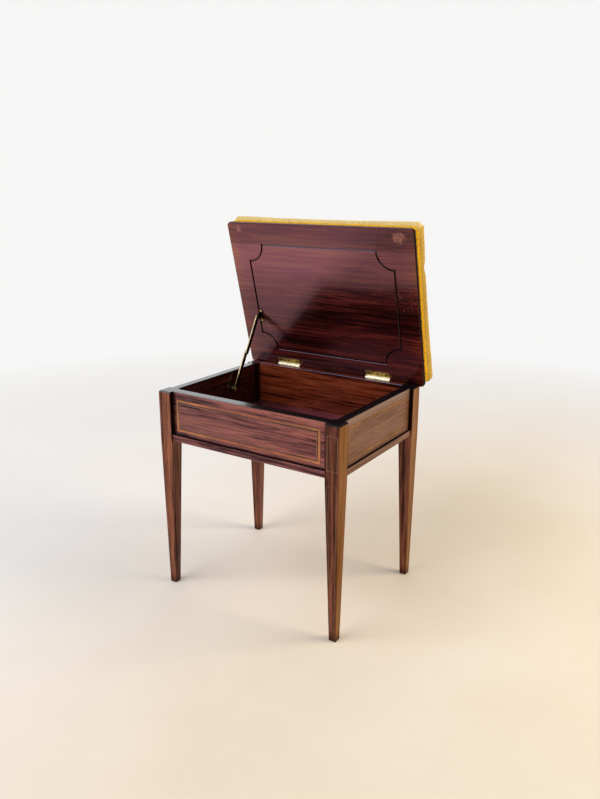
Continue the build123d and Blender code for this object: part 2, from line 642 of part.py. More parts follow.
# Assembly of the stay
bracket = lid_bracket()
pivot_y = LID_PIVOT[0]
screw_x = EAR_X + (BRACKET_WIDTH + EAR_THICKNESS) / 2
places = [Pos(screw_x, pivot_y + step, BRACKET_UNDER) * Rot(180, 0, 0)
          for step in (-BRACKET_SCREWS / 2, BRACKET_SCREWS / 2)]
holes, screws = screw_group(places, LID_SCREW)
for hole in holes:
    bracket -= hole
    board -= hole
lid_pin = headed_pin(UPPER_ARM_X, EAR_X + EAR_THICKNESS, LID_PIVOT)
bracket -= rod(EAR_X, EAR_X + EAR_THICKNESS, LID_PIVOT, STAY_PIN_RADIUS)
parts["lid_board"] = opened(board)
parts["stay_lid_bracket"] = opened(bracket)
parts["stay_lid_screws"] = opened(group(screws))
parts["stay_lid_pin"] = opened(lid_pin)

lid_pivot_open = turned(LID_PIVOT, -OPEN_ANGLE)
elbow = ((lid_pivot_open[0] + BOX_PIVOT[0]) / 2, (lid_pivot_open[1] + BOX_PIVOT[1]) / 2)
pivot_bore = STAY_PIN_RADIUS + PIN_FIT
upper_x = (UPPER_ARM_X, UPPER_ARM_X + ARM_THICKNESS)
lower_x = (LOWER_ARM_X, LOWER_ARM_X + ARM_THICKNESS)
upper_arm = arm(lid_pivot_open, elbow, UPPER_ARM_X)
upper_arm -= rod(*upper_x, lid_pivot_open, pivot_bore)
upper_arm -= rod(*upper_x, elbow, STAY_PIN_RADIUS)
parts["stay_upper_arm"] = upper_arm
parts["stay_elbow_rivet"] = headed_pin(*upper_x, elbow)
lower_arm = arm(BOX_PIVOT, elbow, LOWER_ARM_X)
lower_arm -= rod(*lower_x, BOX_PIVOT, pivot_bore)
lower_arm -= rod(*lower_x, elbow, pivot_bore)
parts["stay_lower_arm"] = lower_arm

plate = box_plate()
screw_y = BOX_PIVOT[0] + PLATE_BACK - PLATE_LENGTH + PLATE_SCREW_EDGE
places = [Pos(PLATE_X + STAY_PLATE, screw_y, BOX_PIVOT[1] + step) * Rot(0, 90, 0)
          for step in (-PLATE_SCREWS / 2, PLATE_SCREWS / 2)]
holes, screws = screw_group(places, BOX_SCREW)
for hole in holes:
    plate -= hole
    parts["apron_left"] -= hole
parts["stay_box_plate"] = plate - rod(PLATE_X, LOWER_ARM_X - STAY_GAP, BOX_PIVOT, STAY_PIN_RADIUS)
parts["stay_box_screws"] = group(screws)
parts["stay_box_pin"] = headed_pin(PLATE_X, LOWER_ARM_X + ARM_THICKNESS, BOX_PIVOT)

# The origin moves under the middle of the overall box, and every piece is written
box = Compound(children=[Compound(children=list(piece.solids())) for piece in parts.values()]).bounding_box()
shift = -(box.min.Y + box.max.Y) / 2
os.makedirs("parts", exist_ok=True)
for name, piece in parts.items():
    export_step(Pos(0, shift, 0) * piece, f"parts/{name}.step")

# Places and turns of the joints, for whoever writes the assembly's record
closed_span = math.dist(LID_PIVOT, BOX_PIVOT)
arm_length = math.dist(lid_pivot_open, elbow)
fold_height = math.sqrt(arm_length ** 2 - (closed_span / 2) ** 2)
up_y = (LID_PIVOT[0] - BOX_PIVOT[0]) / closed_span
up_z = (LID_PIVOT[1] - BOX_PIVOT[1]) / closed_span
elbow_closed = ((LID_PIVOT[0] + BOX_PIVOT[0]) / 2 + fold_height * up_z,
                (LID_PIVOT[1] + BOX_PIVOT[1]) / 2 - fold_height * up_y)
upper_turn = bearing(LID_PIVOT, elbow_closed) - bearing(lid_pivot_open, elbow) - OPEN_ANGLE
lower_turn = bearing(BOX_PIVOT, elbow_closed) - bearing(BOX_PIVOT, elbow)
print("overall", box.size, "shift in Y", round(shift, 3))
print("lid hinge at", round(AXIS_Y + shift, 3), round(AXIS_Z, 3), "closes by", OPEN_ANGLE)
print("upper arm at", round(lid_pivot_open[0] + shift, 3), round(lid_pivot_open[1], 3), "turns", round(upper_turn, 4))
print("lower arm at", round(BOX_PIVOT[0] + shift, 3), round(BOX_PIVOT[1], 3), "turns", round(lower_turn, 4))
print("elbow open", [round(v, 2) for v in elbow], "closed", [round(v, 2) for v in elbow_closed])
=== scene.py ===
import math

import bmesh
import bpy
from mathutils import Matrix, Vector, noise


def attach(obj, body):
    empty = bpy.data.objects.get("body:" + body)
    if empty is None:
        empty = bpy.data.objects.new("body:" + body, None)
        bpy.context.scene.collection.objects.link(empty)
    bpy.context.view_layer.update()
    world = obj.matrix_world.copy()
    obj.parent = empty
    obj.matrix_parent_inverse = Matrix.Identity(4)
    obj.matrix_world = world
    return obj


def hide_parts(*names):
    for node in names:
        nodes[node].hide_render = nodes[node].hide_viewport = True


# A mahogany piano stool with an inlaid box and an upholstered lid, shown open.
# Everything is in metres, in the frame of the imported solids.
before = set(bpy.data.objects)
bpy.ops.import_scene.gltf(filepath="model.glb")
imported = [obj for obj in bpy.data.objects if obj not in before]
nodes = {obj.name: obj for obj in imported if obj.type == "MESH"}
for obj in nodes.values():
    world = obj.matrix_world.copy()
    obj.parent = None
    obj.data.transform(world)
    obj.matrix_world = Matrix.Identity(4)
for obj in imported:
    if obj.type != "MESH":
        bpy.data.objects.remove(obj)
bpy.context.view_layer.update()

# Places on the solids, which the finishes and the soft pieces share
HINGE = Vector((0.0, 0.147379, 0.4562))
OPEN_ANGLE = math.radians(75.4)
HINGE_TO_LID_TOP = 0.0082
HINGE_TO_LID_MIDDLE = 0.1719
HINGE_TO_BOX_MIDDLE = 0.1732
BOX_MIDDLE_TO_BACK = 0.148
LID_TOP = HINGE.z + HINGE_TO_LID_TOP
LID_MIDDLE_Y = HINGE.y - HINGE_TO_LID_MIDDLE
BOX_MIDDLE_Y = HINGE.y - HINGE_TO_BOX_MIDDLE
BACK_INSIDE_Y = BOX_MIDDLE_Y + BOX_MIDDLE_TO_BACK
BAND_MIDDLE_Z = 0.40425
BAND_HALF_HEIGHT = 0.03525

# The cushion's outline, wall, rolled edge and crown, and how far its sides draw in
SEAT_HALF_WIDTH = 0.232
SEAT_HALF_DEPTH = 0.1749
SEAT_CORNER = 0.012
SEAT_WALL = 0.017
SEAT_ROLL = 0.0175
ROLL_SPAN = 0.034
ROLL_START = math.radians(-45.0)
ROLL_END = math.radians(80.0)
SEAT_CROWN = 0.056
SEAT_FLAT = 0.024
SIDE_DRAW = 0.002
FOOT_DRAW = 0.0008

to_seat = Matrix.Translation((0.0, LID_MIDDLE_Y, LID_TOP))
swing_open = Matrix.Translation(HINGE) @ Matrix.Rotation(-OPEN_ANGLE, 4, "X") @ Matrix.Translation(-HINGE)
seat_to_open = swing_open @ to_seat


# Shader helpers

def start_finish(name):
    """A new material with its node tree and its shader."""
    material = bpy.data.materials.new(name)
    material.use_nodes = True
    return material, material.node_tree, material.node_tree.nodes["Principled BSDF"]


def put(tree, kind, values=None, **settings):
    """Adds a node, with its settings and with values or links for its inputs."""
    made = tree.nodes.new(kind)
    for key, value in settings.items():
        setattr(made, key, value)
    for key, value in (values or {}).items():
        if isinstance(value, bpy.types.NodeSocket):
            tree.links.new(value, made.inputs[key])
        else:
            made.inputs[key].default_value = value
    return made


def spread(tree, scale, place=(0.0, 0.0, 0.0), turn=(0.0, 0.0, 0.0)):
    """Object coordinates stretched by a scale on each axis."""
    source = put(tree, "ShaderNodeTexCoord")
    values = {"Vector": source.outputs["Object"], "Location": place, "Rotation": turn, "Scale": scale}
    return put(tree, "ShaderNodeMapping", values).outputs["Vector"]


def cloud(tree, vector, scale=1.0, detail=4.0, roughness=0.55, distortion=0.0):
    values = {"Vector": vector, "Scale": scale, "Detail": detail, "Roughness": roughness,
              "Distortion": distortion}
    return put(tree, "ShaderNodeTexNoise", values).outputs["Fac"]


def ramp(tree, source, stops):
    """Colours, or greys given as one number, spread along a value."""
    made = put(tree, "ShaderNodeValToRGB", {"Fac": source})
    points = made.color_ramp.elements
    while len(points) < len(stops):
        points.new(0.5)
    for point, (place, colour) in zip(points, stops):
        shade = colour if isinstance(colour, tuple) else (colour, colour, colour)
        point.position = place
        point.color = (*shade, 1.0)
    return made.outputs["Color"]


def part_of(tree, output, axis):
    """One axis of the normal or of the object coordinates."""
    source = put(tree, "ShaderNodeTexCoord").outputs[output]
    return put(tree, "ShaderNodeSeparateXYZ", {0: source}).outputs[axis]


def combine(tree, first, second, operation="ADD", clamp=False):
    """Two values put together, added unless another operation is named."""
    made = tree.nodes.new("ShaderNodeMath")
    made.operation = operation
    made.use_clamp = clamp
    for index, value in enumerate((first, second)):
        if isinstance(value, bpy.types.NodeSocket):
            tree.links.new(value, made.inputs[index])
        else:
            made.inputs[index].default_value = value
    return made.outputs[0]


def size_of(tree, value):
    """A value without its sign."""
    return put(tree, "ShaderNodeMath", {0: value}, operation="ABSOLUTE").outputs[0]


def product(tree, *factors):
    """All the factors multiplied together."""
    made = factors[0]
    for factor in factors[1:]:
        made = combine(tree, made, factor, "MULTIPLY")
    return made


def blend(tree, share, low, high, mode="MIX"):
    """Mixes two colours by a share from 0 to 1."""
    made = tree.nodes.new("ShaderNodeMix")
    made.data_type = "RGBA"
    made.blend_type = mode
    for index, value in ((0, share), (6, low), (7, high)):
        if isinstance(value, bpy.types.NodeSocket):
            tree.links.new(value, made.inputs[index])
        elif isinstance(value, tuple):
            made.inputs[index].default_value = (*value, 1.0)
        else:
            made.inputs[index].default_value = value
    return made.outputs[2]


def tinted(tree, colour, tint):
    """A colour multiplied by another."""
    return blend(tree, 1.0, colour, tint, "MULTIPLY")


def shifted(tree, axis):
    """A place along an axis plus 0.5, so that a ramp, which runs from 0 to 1, takes both its sides."""
    return combine(tree, part_of(tree, "Object", axis), 0.5)


def facing(tree, axis, start=0.5, end=0.8, most=1.0):
    """Rises to its most on faces that look along an axis."""
    return ramp(tree, part_of(tree, "Normal", axis), [(start, 0.0), (end, most)])


def relief(tree, shader, height, strength, distance):
    made = put(tree, "ShaderNodeBump", {"Height": height, "Strength": strength, "Distance": distance})
    tree.links.new(made.outputs["Normal"], shader.inputs["Normal"])


def near(tree, point, reach, rough=0.35, scale=60.0):
    """A ragged patch round a point, 1 in its middle and 0 outside its reach."""
    source = put(tree, "ShaderNodeTexCoord").outputs["Object"]
    away = put(tree, "ShaderNodeVectorMath", {0: source, 1: point}, operation="DISTANCE").outputs["Value"]
    share = combine(tree, away, reach, "DIVIDE")
    ragged = cloud(tree, spread(tree, (scale, scale, scale)), detail=6.0, roughness=0.7)
    ragged = combine(tree, ragged, 0.5, "SUBTRACT")
    share = combine(tree, share, product(tree, ragged, 4.0 * rough))
    return ramp(tree, share, [(0.55, 1.0), (0.95, 0.0)])


# Wood

RIGHT_SIDE = [(0.14, 0.0), (0.19, 1.0)]
# Painted shade on the inside of the left apron
SHADED_WOOD = (0.006, 0.0015, 0.0018)
# Painted shade where the legs meet the aprons
CORNER_SHADE = (0.004, 0.0015, 0.0015)
# Painted shade on the front left leg's right face, also used to darken the feet
SHADE_AND_DARK_FEET = (0.012, 0.005, 0.003)
GRAIN_STRETCH = {"X": (0.05, 1.0, 1.0), "Y": (1.0, 0.05, 1.0), "Z": (1.0, 1.0, 0.035)}


def along_grain(tree, grain, scale, place=(0.0, 0.0, 0.0)):
    return spread(tree, tuple(scale * part for part in GRAIN_STRETCH[grain]), place)


def mahogany_colour(tree, grain, tones, place=(0.0, 0.0, 0.0)):
    """Streaked grain: slow bands of tone, fine lines and short dark pores."""
    bands = cloud(tree, along_grain(tree, grain, 42.0, place), detail=3.0, roughness=0.5, distortion=0.9)
    lines = cloud(tree, along_grain(tree, grain, 210.0, place), detail=5.0, roughness=0.65, distortion=0.4)
    pores = cloud(tree, along_grain(tree, grain, 900.0, place), detail=2.0, roughness=0.5)
    slow = cloud(tree, spread(tree, (5.0, 5.0, 5.0), place), detail=2.0)
    figure = combine(tree, product(tree, bands, 0.45), product(tree, lines, 0.55))
    dark, middle, light = tones
    colour = ramp(tree, figure, [(0.41, dark), (0.5, middle), (0.60, light)])
    flecks = ramp(tree, pores, [(0.36, 0.45), (0.5, 1.0)])
    colour = blend(tree, 0.75, colour, flecks, "MULTIPLY")
    shade = ramp(tree, slow, [(0.3, 0.72), (0.7, 1.15)])
    colour = blend(tree, 0.8, colour, shade, "MULTIPLY")
    return colour, figure, lines, pores


def painted_right_light_left_shade(tree, colour, middle, painted_light_tint):
    """Paints light on the outer faces on the right, which look towards the window lamp, and paints shade
    on the inside of the left apron. Also gives the share of painted light."""
    # Painted light on the faces that look to the right
    rightward = facing(tree, "X", 0.35, 0.8, 0.9)
    across = part_of(tree, "Object", "X")
    share = product(tree, rightward, ramp(tree, across, RIGHT_SIDE))
    pale = tinted(tree, blend(tree, 0.82, colour, middle), painted_light_tint)
    colour = blend(tree, share, colour, pale)
    # Painted shade on the inside of the left apron
    left = ramp(tree, product(tree, across, -1.0), [(0.16, 0.0), (0.19, 1.0)])
    high = ramp(tree, part_of(tree, "Object", "Z"), [(0.34, 0.0), (0.35, 1.0)])
    return blend(tree, product(tree, rightward, left, high), colour, SHADED_WOOD), share


def from_middle(tree, axis, middle):
    """Distance from a middle along one axis."""
    return size_of(tree, combine(tree, part_of(tree, "Object", axis), middle, "SUBTRACT"))


def leg_light_and_shade(tree, colour):
    """Paints light on the front face of the front left leg and shade on its right face, makes the feet
    darker, and paints shade where the legs meet the aprons. Also gives the share that has lost its shine."""
    height = part_of(tree, "Object", "Z")
    front_left = product(tree, ramp(tree, shifted(tree, "X"), [(0.45, 1.0), (0.55, 0.0)]),
                         ramp(tree, shifted(tree, "Y"), [(0.40, 1.0), (0.50, 0.0)]))
    forward = ramp(tree, product(tree, part_of(tree, "Normal", "Y"), -1.0), [(0.5, 0.0), (0.8, 1.0)])
    # Painted light on the front face of the front left leg
    fade_and_painted_light = product(tree, front_left, forward, ramp(tree, height, [(0.33, 1.0), (0.36, 0.4)]))
    colour = blend(tree, fade_and_painted_light, colour, tinted(tree, colour, (2.9, 3.2, 2.6)))
    # Painted shade on the right face of the front left leg, under the box
    shaded = product(tree, front_left, facing(tree, "X"), ramp(tree, height, [(0.10, 0.45), (0.30, 0.0)]))
    colour = blend(tree, shaded, colour, SHADE_AND_DARK_FEET)
    # Darker towards the foot of each leg
    foot = ramp(tree, height, [(0.004, 0.7), (0.026, 0.0)])
    colour = blend(tree, foot, colour, SHADE_AND_DARK_FEET)
    # Painted shade on the legs' inner faces, where they meet the aprons
    by_side = ramp(tree, from_middle(tree, "X", 0.0), [(0.1928, 1.0), (0.1934, 0.0)])
    by_end = ramp(tree, from_middle(tree, "Y", BOX_MIDDLE_Y), [(0.1418, 1.0), (0.1424, 0.0)])
    high = ramp(tree, height, [(0.345, 0.0), (0.362, 1.0)])
    corner = product(tree, combine(tree, by_side, by_end, "MAXIMUM"), high)
    dull = combine(tree, combine(tree, corner, foot, "MAXIMUM"), shaded, "MAXIMUM")
    return blend(tree, corner, colour, CORNER_SHADE), dull


def apron_lines(tree, colour, along, face, middle, half, reach, strength):
    """Thin dark lines on both sides of an apron's band, and painted shade at the apron's ends, next to the
    legs. Also gives the share that has lost its shine."""
    beyond = combine(tree, from_middle(tree, along, middle), half, "SUBTRACT")
    above = combine(tree, from_middle(tree, "Z", BAND_MIDDLE_Z), BAND_HALF_HEIGHT, "SUBTRACT")
    out = combine(tree, beyond, above, "MAXIMUM")
    out = combine(tree, product(tree, out, 20.0), 0.5)
    dark = ramp(tree, out, [(0.352, 0.0), (0.356, 1.0), (0.396, 1.0), (0.400, 0.0),
                            (0.500, 0.0), (0.503, 1.0), (0.518, 1.0), (0.526, 0.0)])
    centre = {"X": 0.0, "Y": BOX_MIDDLE_Y}
    outside = combine(tree, part_of(tree, "Object", face), centre[face], "SUBTRACT")
    outside = product(tree, outside, part_of(tree, "Normal", face))
    outside = ramp(tree, outside, [(0.08, 0.0), (0.10, strength)])
    colour = blend(tree, product(tree, dark, outside), colour, (0.010, 0.003, 0.003))
    # Painted shade at the apron's ends, next to the legs
    ends = ramp(tree, from_middle(tree, along, centre[along]), [(reach - 0.008, 0.0), (reach, 0.92)])
    return blend(tree, ends, colour, (0.005, 0.002, 0.002)), ends


def polish(tree, shader, colour, lines, pores, gloss, rough=(0.22, 0.34)):
    """French polish: roughness that follows the fibres, a smooth clear coat, and pores in relief."""
    tree.links.new(colour, shader.inputs["Base Color"])
    tree.links.new(ramp(tree, lines, [(0.3, rough[0]), (0.7, rough[1])]), shader.inputs["Roughness"])
    shader.inputs["IOR"].default_value = gloss
    shader.inputs["Coat Roughness"].default_value = 0.06
    shader.inputs["Coat IOR"].default_value = 1.5
    relief(tree, shader, combine(tree, lines, pores), 0.12, 0.0003)


def top_faces(tree, shader, colour, tint, shine, coat, mirror_to):
    """Paints shade on the top faces; on the rim, left of mirror_to, their polish mirrors without a tint."""
    upward = facing(tree, "Z", 0.45, 0.65)
    aside = ramp(tree, upward, [(0.0, 1.0), (1.0, 0.0)])
    rim = product(tree, upward, ramp(tree, part_of(tree, "Object", "Z"), [(0.440, 0.0), (0.445, 1.0)]))
    left = ramp(tree, shifted(tree, "X"), [(mirror_to + 0.48, 1.0), (mirror_to + 0.52, 0.0)])
    mirror = combine(tree, product(tree, rim, left), product(tree, rim, 0.04), "MAXIMUM")
    shine = combine(tree, product(tree, shine, aside), product(tree, mirror, 0.55))
    coat = combine(tree, product(tree, coat, aside), product(tree, mirror, 0.7))
    tree.links.new(shine, shader.inputs["Specular IOR Level"])
    tree.links.new(coat, shader.inputs["Coat Weight"])
    tree.links.new(blend(tree, upward, tint, (0.85, 0.90, 1.0)), shader.inputs["Specular Tint"])
    # Painted shade on the faces that look up
    tree.links.new(blend(tree, upward, colour, (0.004, 0.003, 0.004)), shader.inputs["Base Color"])


PANEL = ((0.030, 0.009, 0.010), (0.110, 0.028, 0.022), (0.220, 0.067, 0.040))
LEG = ((0.032, 0.007, 0.004), (0.095, 0.0235, 0.010), (0.175, 0.053, 0.021))
INSIDE = ((0.035, 0.005, 0.003), (0.160, 0.026, 0.009), (0.280, 0.060, 0.022))
# The floor's mauve is a painted sheen
FLOOR = ((0.150, 0.030, 0.044), (0.300, 0.066, 0.100), (0.440, 0.114, 0.168))
RAIL = ((0.045, 0.013, 0.015), (0.165, 0.044, 0.035), (0.320, 0.106, 0.064))
LID = ((0.010, 0.002, 0.002), (0.046, 0.006, 0.006), (0.120, 0.018, 0.014))
PANEL_TINT = ((0.75, 0.38, 0.46), (1.0, 0.39, 0.38))
LEG_TINT = ((0.85, 0.34, 0.28), (1.0, 0.37, 0.25))
INSIDE_TINT = ((0.80, 0.30, 0.25), (1.0, 0.36, 0.25))
RUBBED = (0.80, 0.58, 0.62)
# Tints of the light painted on the right faces
RIGHT_LIGHT_TAN = (1.42, 2.55, 1.75)
RIGHT_LIGHT_GOLDEN = (2.15, 3.3, 1.15)


def mahogany(name, grain, tones, painted_light_tint=RIGHT_LIGHT_TAN, gloss=1.9, tint=PANEL_TINT, place=(0.0, 0.0, 0.0),
             marks_and_painted_light=None, mirror_to=0.0):
    """A wood for one kind of piece. The marks function adds dark lines, darker feet and the light and shade
    painted on the piece. Mirror_to is where the bright part of the rim ends; with None, the top faces are
    as the others."""
    material, tree, shader = start_finish(name)
    colour, figure, lines, pores = mahogany_colour(tree, grain, tones, place)
    colour, fade_and_painted_light = painted_right_light_left_shade(tree, colour, tones[1], painted_light_tint)
    dull = 0.0
    if marks_and_painted_light:
        colour, dull = marks_and_painted_light(tree, colour)
    polish(tree, shader, colour, lines, pores, gloss)
    streaks = ramp(tree, figure, [(0.42, 0.12), (0.50, 0.75), (0.58, 1.30)])
    clean = combine(tree, 1.0, dull, "SUBTRACT")
    # Less shine and coat where light is painted
    shine = product(tree, ramp(tree, fade_and_painted_light, [(0.0, 0.5), (1.0, 0.06)]), streaks, clean)
    coat = product(tree, ramp(tree, fade_and_painted_light, [(0.0, 0.12), (1.0, 0.02)]), clean)
    tint = ramp(tree, figure, [(0.42, tint[0]), (0.57, tint[1])])
    if mirror_to is None:
        tree.links.new(shine, shader.inputs["Specular IOR Level"])
        tree.links.new(coat, shader.inputs["Coat Weight"])
        tree.links.new(tint, shader.inputs["Specular Tint"])
    else:
        top_faces(tree, shader, colour, tint, shine, coat, mirror_to)
    return material


# Directions on the open lid: from the hinges to its front edge, and from its underside into it
ALONG_LID = Vector((0.0, -math.cos(OPEN_ANGLE), math.sin(OPEN_ANGLE)))
INTO_LID = Vector((0.0, math.sin(OPEN_ANGLE), math.cos(OPEN_ANGLE)))


def on_lid(across, reach):
    """A point on the underside of the open lid: across the lid, and away from the hinges."""
    return (across, HINGE.y - reach * math.cos(OPEN_ANGLE), HINGE.z + reach * math.sin(OPEN_ANGLE))


def measured(tree, vector, direction, start):
    """How far a vector reaches in a direction, past a start."""
    values = {0: vector, 1: tuple(direction)}
    along = put(tree, "ShaderNodeVectorMath", values, operation="DOT_PRODUCT").outputs["Value"]
    return combine(tree, along, start, "SUBTRACT")


def lid_wear(tree, colour):
    """Two worn corners, and scuffs down the right margin."""
    for side, reach, size in ((0.2001, 0.3302, 0.015), (-0.2045, 0.3342, 0.009)):
        worn = near(tree, on_lid(side, reach), size, rough=0.75, scale=130.0)
        grit = cloud(tree, spread(tree, (330.0, 330.0, 330.0)), detail=6.0, roughness=0.75)
        bare = ramp(tree, grit, [(0.40, (0.07, 0.020, 0.014)), (0.50, (0.22, 0.080, 0.045)),
                                 (0.62, (0.36, 0.150, 0.088))])
        colour = blend(tree, worn, colour, bare)
    scuffed = near(tree, on_lid(0.203, 0.196), 0.034, rough=0.6, scale=160.0)
    scratches = cloud(tree, spread(tree, (260.0, 160.0, 160.0)), detail=6.0)
    scratches = ramp(tree, scratches, [(0.56, 0.0), (0.64, 0.4)])
    return blend(tree, product(tree, scuffed, scratches), colour, (0.20, 0.09, 0.08))


def lid_edges(tree, colour, across, reach):
    """Dark side faces, paler front and back edges, and the groove, dark but where its runs catch the
    light. Also gives the share of these faces, which don't shine."""
    source = put(tree, "ShaderNodeTexCoord")
    aside = size_of(tree, across)
    depth = measured(tree, source.outputs["Object"], INTO_LID, INTO_LID.dot(HINGE))
    upward = measured(tree, source.outputs["Normal"], ALONG_LID, 0.0)
    sides = ramp(tree, size_of(tree, part_of(tree, "Normal", "X")), [(0.40, 0.0), (0.75, 1.0)])
    ends = ramp(tree, size_of(tree, upward), [(0.10, 0.0), (0.35, 1.0)])
    colour = blend(tree, ends, colour, (0.090, 0.036, 0.040))
    within = product(tree, ramp(tree, reach, [(0.318, 1.0), (0.322, 0.0)]),
                     ramp(tree, aside, [(0.200, 1.0), (0.204, 0.0)]))
    sunk = product(tree, within, ramp(tree, depth, [(0.0005, 0.0), (0.0008, 1.0)]))
    colour = blend(tree, combine(tree, sides, sunk, "MAXIMUM"), colour, (0.006, 0.003, 0.003))
    upper_run = product(tree, sunk, ramp(tree, reach, [(0.28, 0.0), (0.30, 1.0)]),
                        ramp(tree, aside, [(0.140, 1.0), (0.148, 0.0)]))
    colour = blend(tree, upper_run, colour, (0.20, 0.14, 0.18))
    right_run = product(tree, sunk, facing(tree, "X", 0.4, 0.7),
                        ramp(tree, across, [(0.12, 0.0), (0.13, 1.0)]),
                        ramp(tree, reach, [(0.19, 1.0), (0.24, 0.0)]))
    colour = blend(tree, right_run, colour, (0.30, 0.23, 0.20))
    lower_run = product(tree, sunk, ramp(tree, upward, [(0.5, 0.0), (0.8, 1.0)]),
                        ramp(tree, aside, [(0.150, 1.0), (0.165, 0.0)]))
    colour = blend(tree, lower_run, colour, (0.62, 0.52, 0.70))
    return colour, combine(tree, combine(tree, sides, ends, "MAXIMUM"), sunk, "MAXIMUM")


def lid_mahogany():
    """The lid's darker mahogany, with a bloom on its polish towards the front edge and the left."""
    material, tree, shader = start_finish("lid mahogany")
    colour, figure, lines, pores = mahogany_colour(tree, "X", LID, (0.3, 0.1, 0.7))
    across = part_of(tree, "Object", "X")
    source = put(tree, "ShaderNodeTexCoord").outputs["Object"]
    reach = measured(tree, source, ALONG_LID, ALONG_LID.dot(HINGE))
    margin = ramp(tree, size_of(tree, across), [(0.205, 0.0), (0.232, 0.6)])
    colour = blend(tree, margin, colour, tinted(tree, colour, (2.4, 2.2, 1.2)))
    colour, dull = lid_edges(tree, lid_wear(tree, colour), across, reach)
    polish(tree, shader, colour, lines, pores, 2.5, (0.14, 0.24))
    tint = ramp(tree, figure, [(0.40, (0.84, 0.27, 0.37)), (0.51, (1.0, 0.34, 0.41)),
                               (0.60, (1.0, 0.44, 0.38))])
    tree.links.new(blend(tree, margin, tint, (1.0, 0.48, 0.26)), shader.inputs["Specular Tint"])
    bloom = ramp(tree, reach, [(0.10, 0.20), (0.19, 0.28), (0.25, 0.52), (0.298, 0.52), (0.303, 0.27)])
    slant = combine(tree, product(tree, reach, 2.94), product(tree, across, -2.99))
    slant = combine(tree, slant, 0.2, "SUBTRACT")
    bloom = product(tree, bloom, ramp(tree, slant, [(0.25, 0.58), (0.55, 1.16)]))
    plain = ramp(tree, dull, [(0.0, 1.0), (1.0, 0.04)])
    tree.links.new(product(tree, bloom, plain), shader.inputs["Specular IOR Level"])
    tree.links.new(product(tree, plain, 0.25), shader.inputs["Coat Weight"])
    return material


def inlay_wood(name, tones, stretch, rubbed=(1.0, 1.0, 1.0), coat=0.5):
    """Satinwood or boxwood, polished flush with the mahogany; rubbed tints its middle."""
    material, tree, shader = start_finish(name)
    figure = cloud(tree, spread(tree, stretch), detail=4.0, roughness=0.6)
    dark, light = tones
    colour = ramp(tree, figure, [(0.32, dark), (0.68, light)])
    uneven = cloud(tree, spread(tree, (24.0, 24.0, 24.0)), detail=3.0)
    colour = tinted(tree, colour, ramp(tree, uneven, [(0.36, 0.62), (0.64, 1.1)]))
    aside = size_of(tree, part_of(tree, "Object", "X"))
    colour = tinted(tree, colour, ramp(tree, aside, [(0.06, rubbed), (0.16, (1.0, 1.0, 1.0))]))
    tree.links.new(colour, shader.inputs["Base Color"])
    tree.links.new(ramp(tree, figure, [(0.3, 0.32), (0.7, 0.45)]), shader.inputs["Roughness"])
    shader.inputs["Specular IOR Level"].default_value = 0.6 * coat
    shader.inputs["Coat Weight"].default_value = coat
    shader.inputs["Coat Roughness"].default_value = 0.09
    relief(tree, shader, figure, 0.1, 0.0002)
    return material


# Metal

def brass(name, dark, middle, light):
    """Brass with its lacquer worn thin: bright and dark patches and fine scratches."""
    material, tree, shader = start_finish(name)
    tarnish = cloud(tree, spread(tree, (95.0, 95.0, 95.0)), detail=6.0, roughness=0.65)
    scratches = cloud(tree, spread(tree, (150.0, 1700.0, 1700.0)), detail=3.0)
    colour = ramp(tree, tarnish, [(0.34, dark), (0.5, middle), (0.7, light)])
    tree.links.new(colour, shader.inputs["Base Color"])
    shader.inputs["Metallic"].default_value = 1.0
    rough = combine(tree, product(tree, tarnish, -0.35), 0.52)
    tree.links.new(rough, shader.inputs["Roughness"])
    relief(tree, shader, combine(tree, tarnish, scratches), 0.06, 0.0001)
    return material, tree, shader, colour


def hinge_brass():
    """Leaves gone olive, with knuckles rubbed pale."""
    material, tree, shader, colour = brass("hinge brass", (0.16, 0.12, 0.045), (0.34, 0.26, 0.10),
                                           (0.52, 0.42, 0.20))
    up = from_middle(tree, "Z", HINGE.z)
    back = from_middle(tree, "Y", HINGE.y)
    away = combine(tree, product(tree, up, up), product(tree, back, back))
    away = put(tree, "ShaderNodeMath", {0: away}, operation="SQRT").outputs[0]
    knuckle = ramp(tree, away, [(0.0038, 1.0), (0.0048, 0.0)])
    tree.links.new(blend(tree, knuckle, colour, (0.78, 0.74, 0.60)), shader.inputs["Base Color"])
    return material


def shaded_and_lit_brass():
    """Tarnished brass, with painted shade on the flat faces of the stay's arms and a painted highlight on
    their edges.
    """
    material, tree, shader = start_finish("dark brass")
    tarnish = cloud(tree, spread(tree, (140.0, 140.0, 140.0)), detail=5.0, roughness=0.65)
    # Painted shade on the flat faces and a painted highlight on the edges
    face = ramp(tree, tarnish, [(0.35, (0.010, 0.007, 0.005)), (0.7, (0.045, 0.030, 0.016))])
    edge = ramp(tree, tarnish, [(0.35, (0.30, 0.23, 0.12)), (0.7, (0.46, 0.39, 0.24))])
    flat = ramp(tree, size_of(tree, part_of(tree, "Normal", "X")), [(0.5, 0.0), (0.8, 1.0)])
    tree.links.new(blend(tree, flat, edge, face), shader.inputs["Base Color"])
    shader.inputs["Metallic"].default_value = 1.0
    tree.links.new(ramp(tree, tarnish, [(0.3, 0.50), (0.7, 0.32)]), shader.inputs["Roughness"])
    relief(tree, shader, tarnish, 0.06, 0.0001)
    return material


# Cloth

SEAT_TURN = (OPEN_ANGLE, 0.0, 0.0)


def painted_top_light(tree):
    """The share of painted light: rises on faces that look to the lid's front edge, which is uppermost
    while the lid is open.
    """
    front = measured(tree, put(tree, "ShaderNodeTexCoord").outputs["Normal"], ALONG_LID, 0.0)
    return ramp(tree, front, [(0.25, 0.0), (0.75, 1.0)])


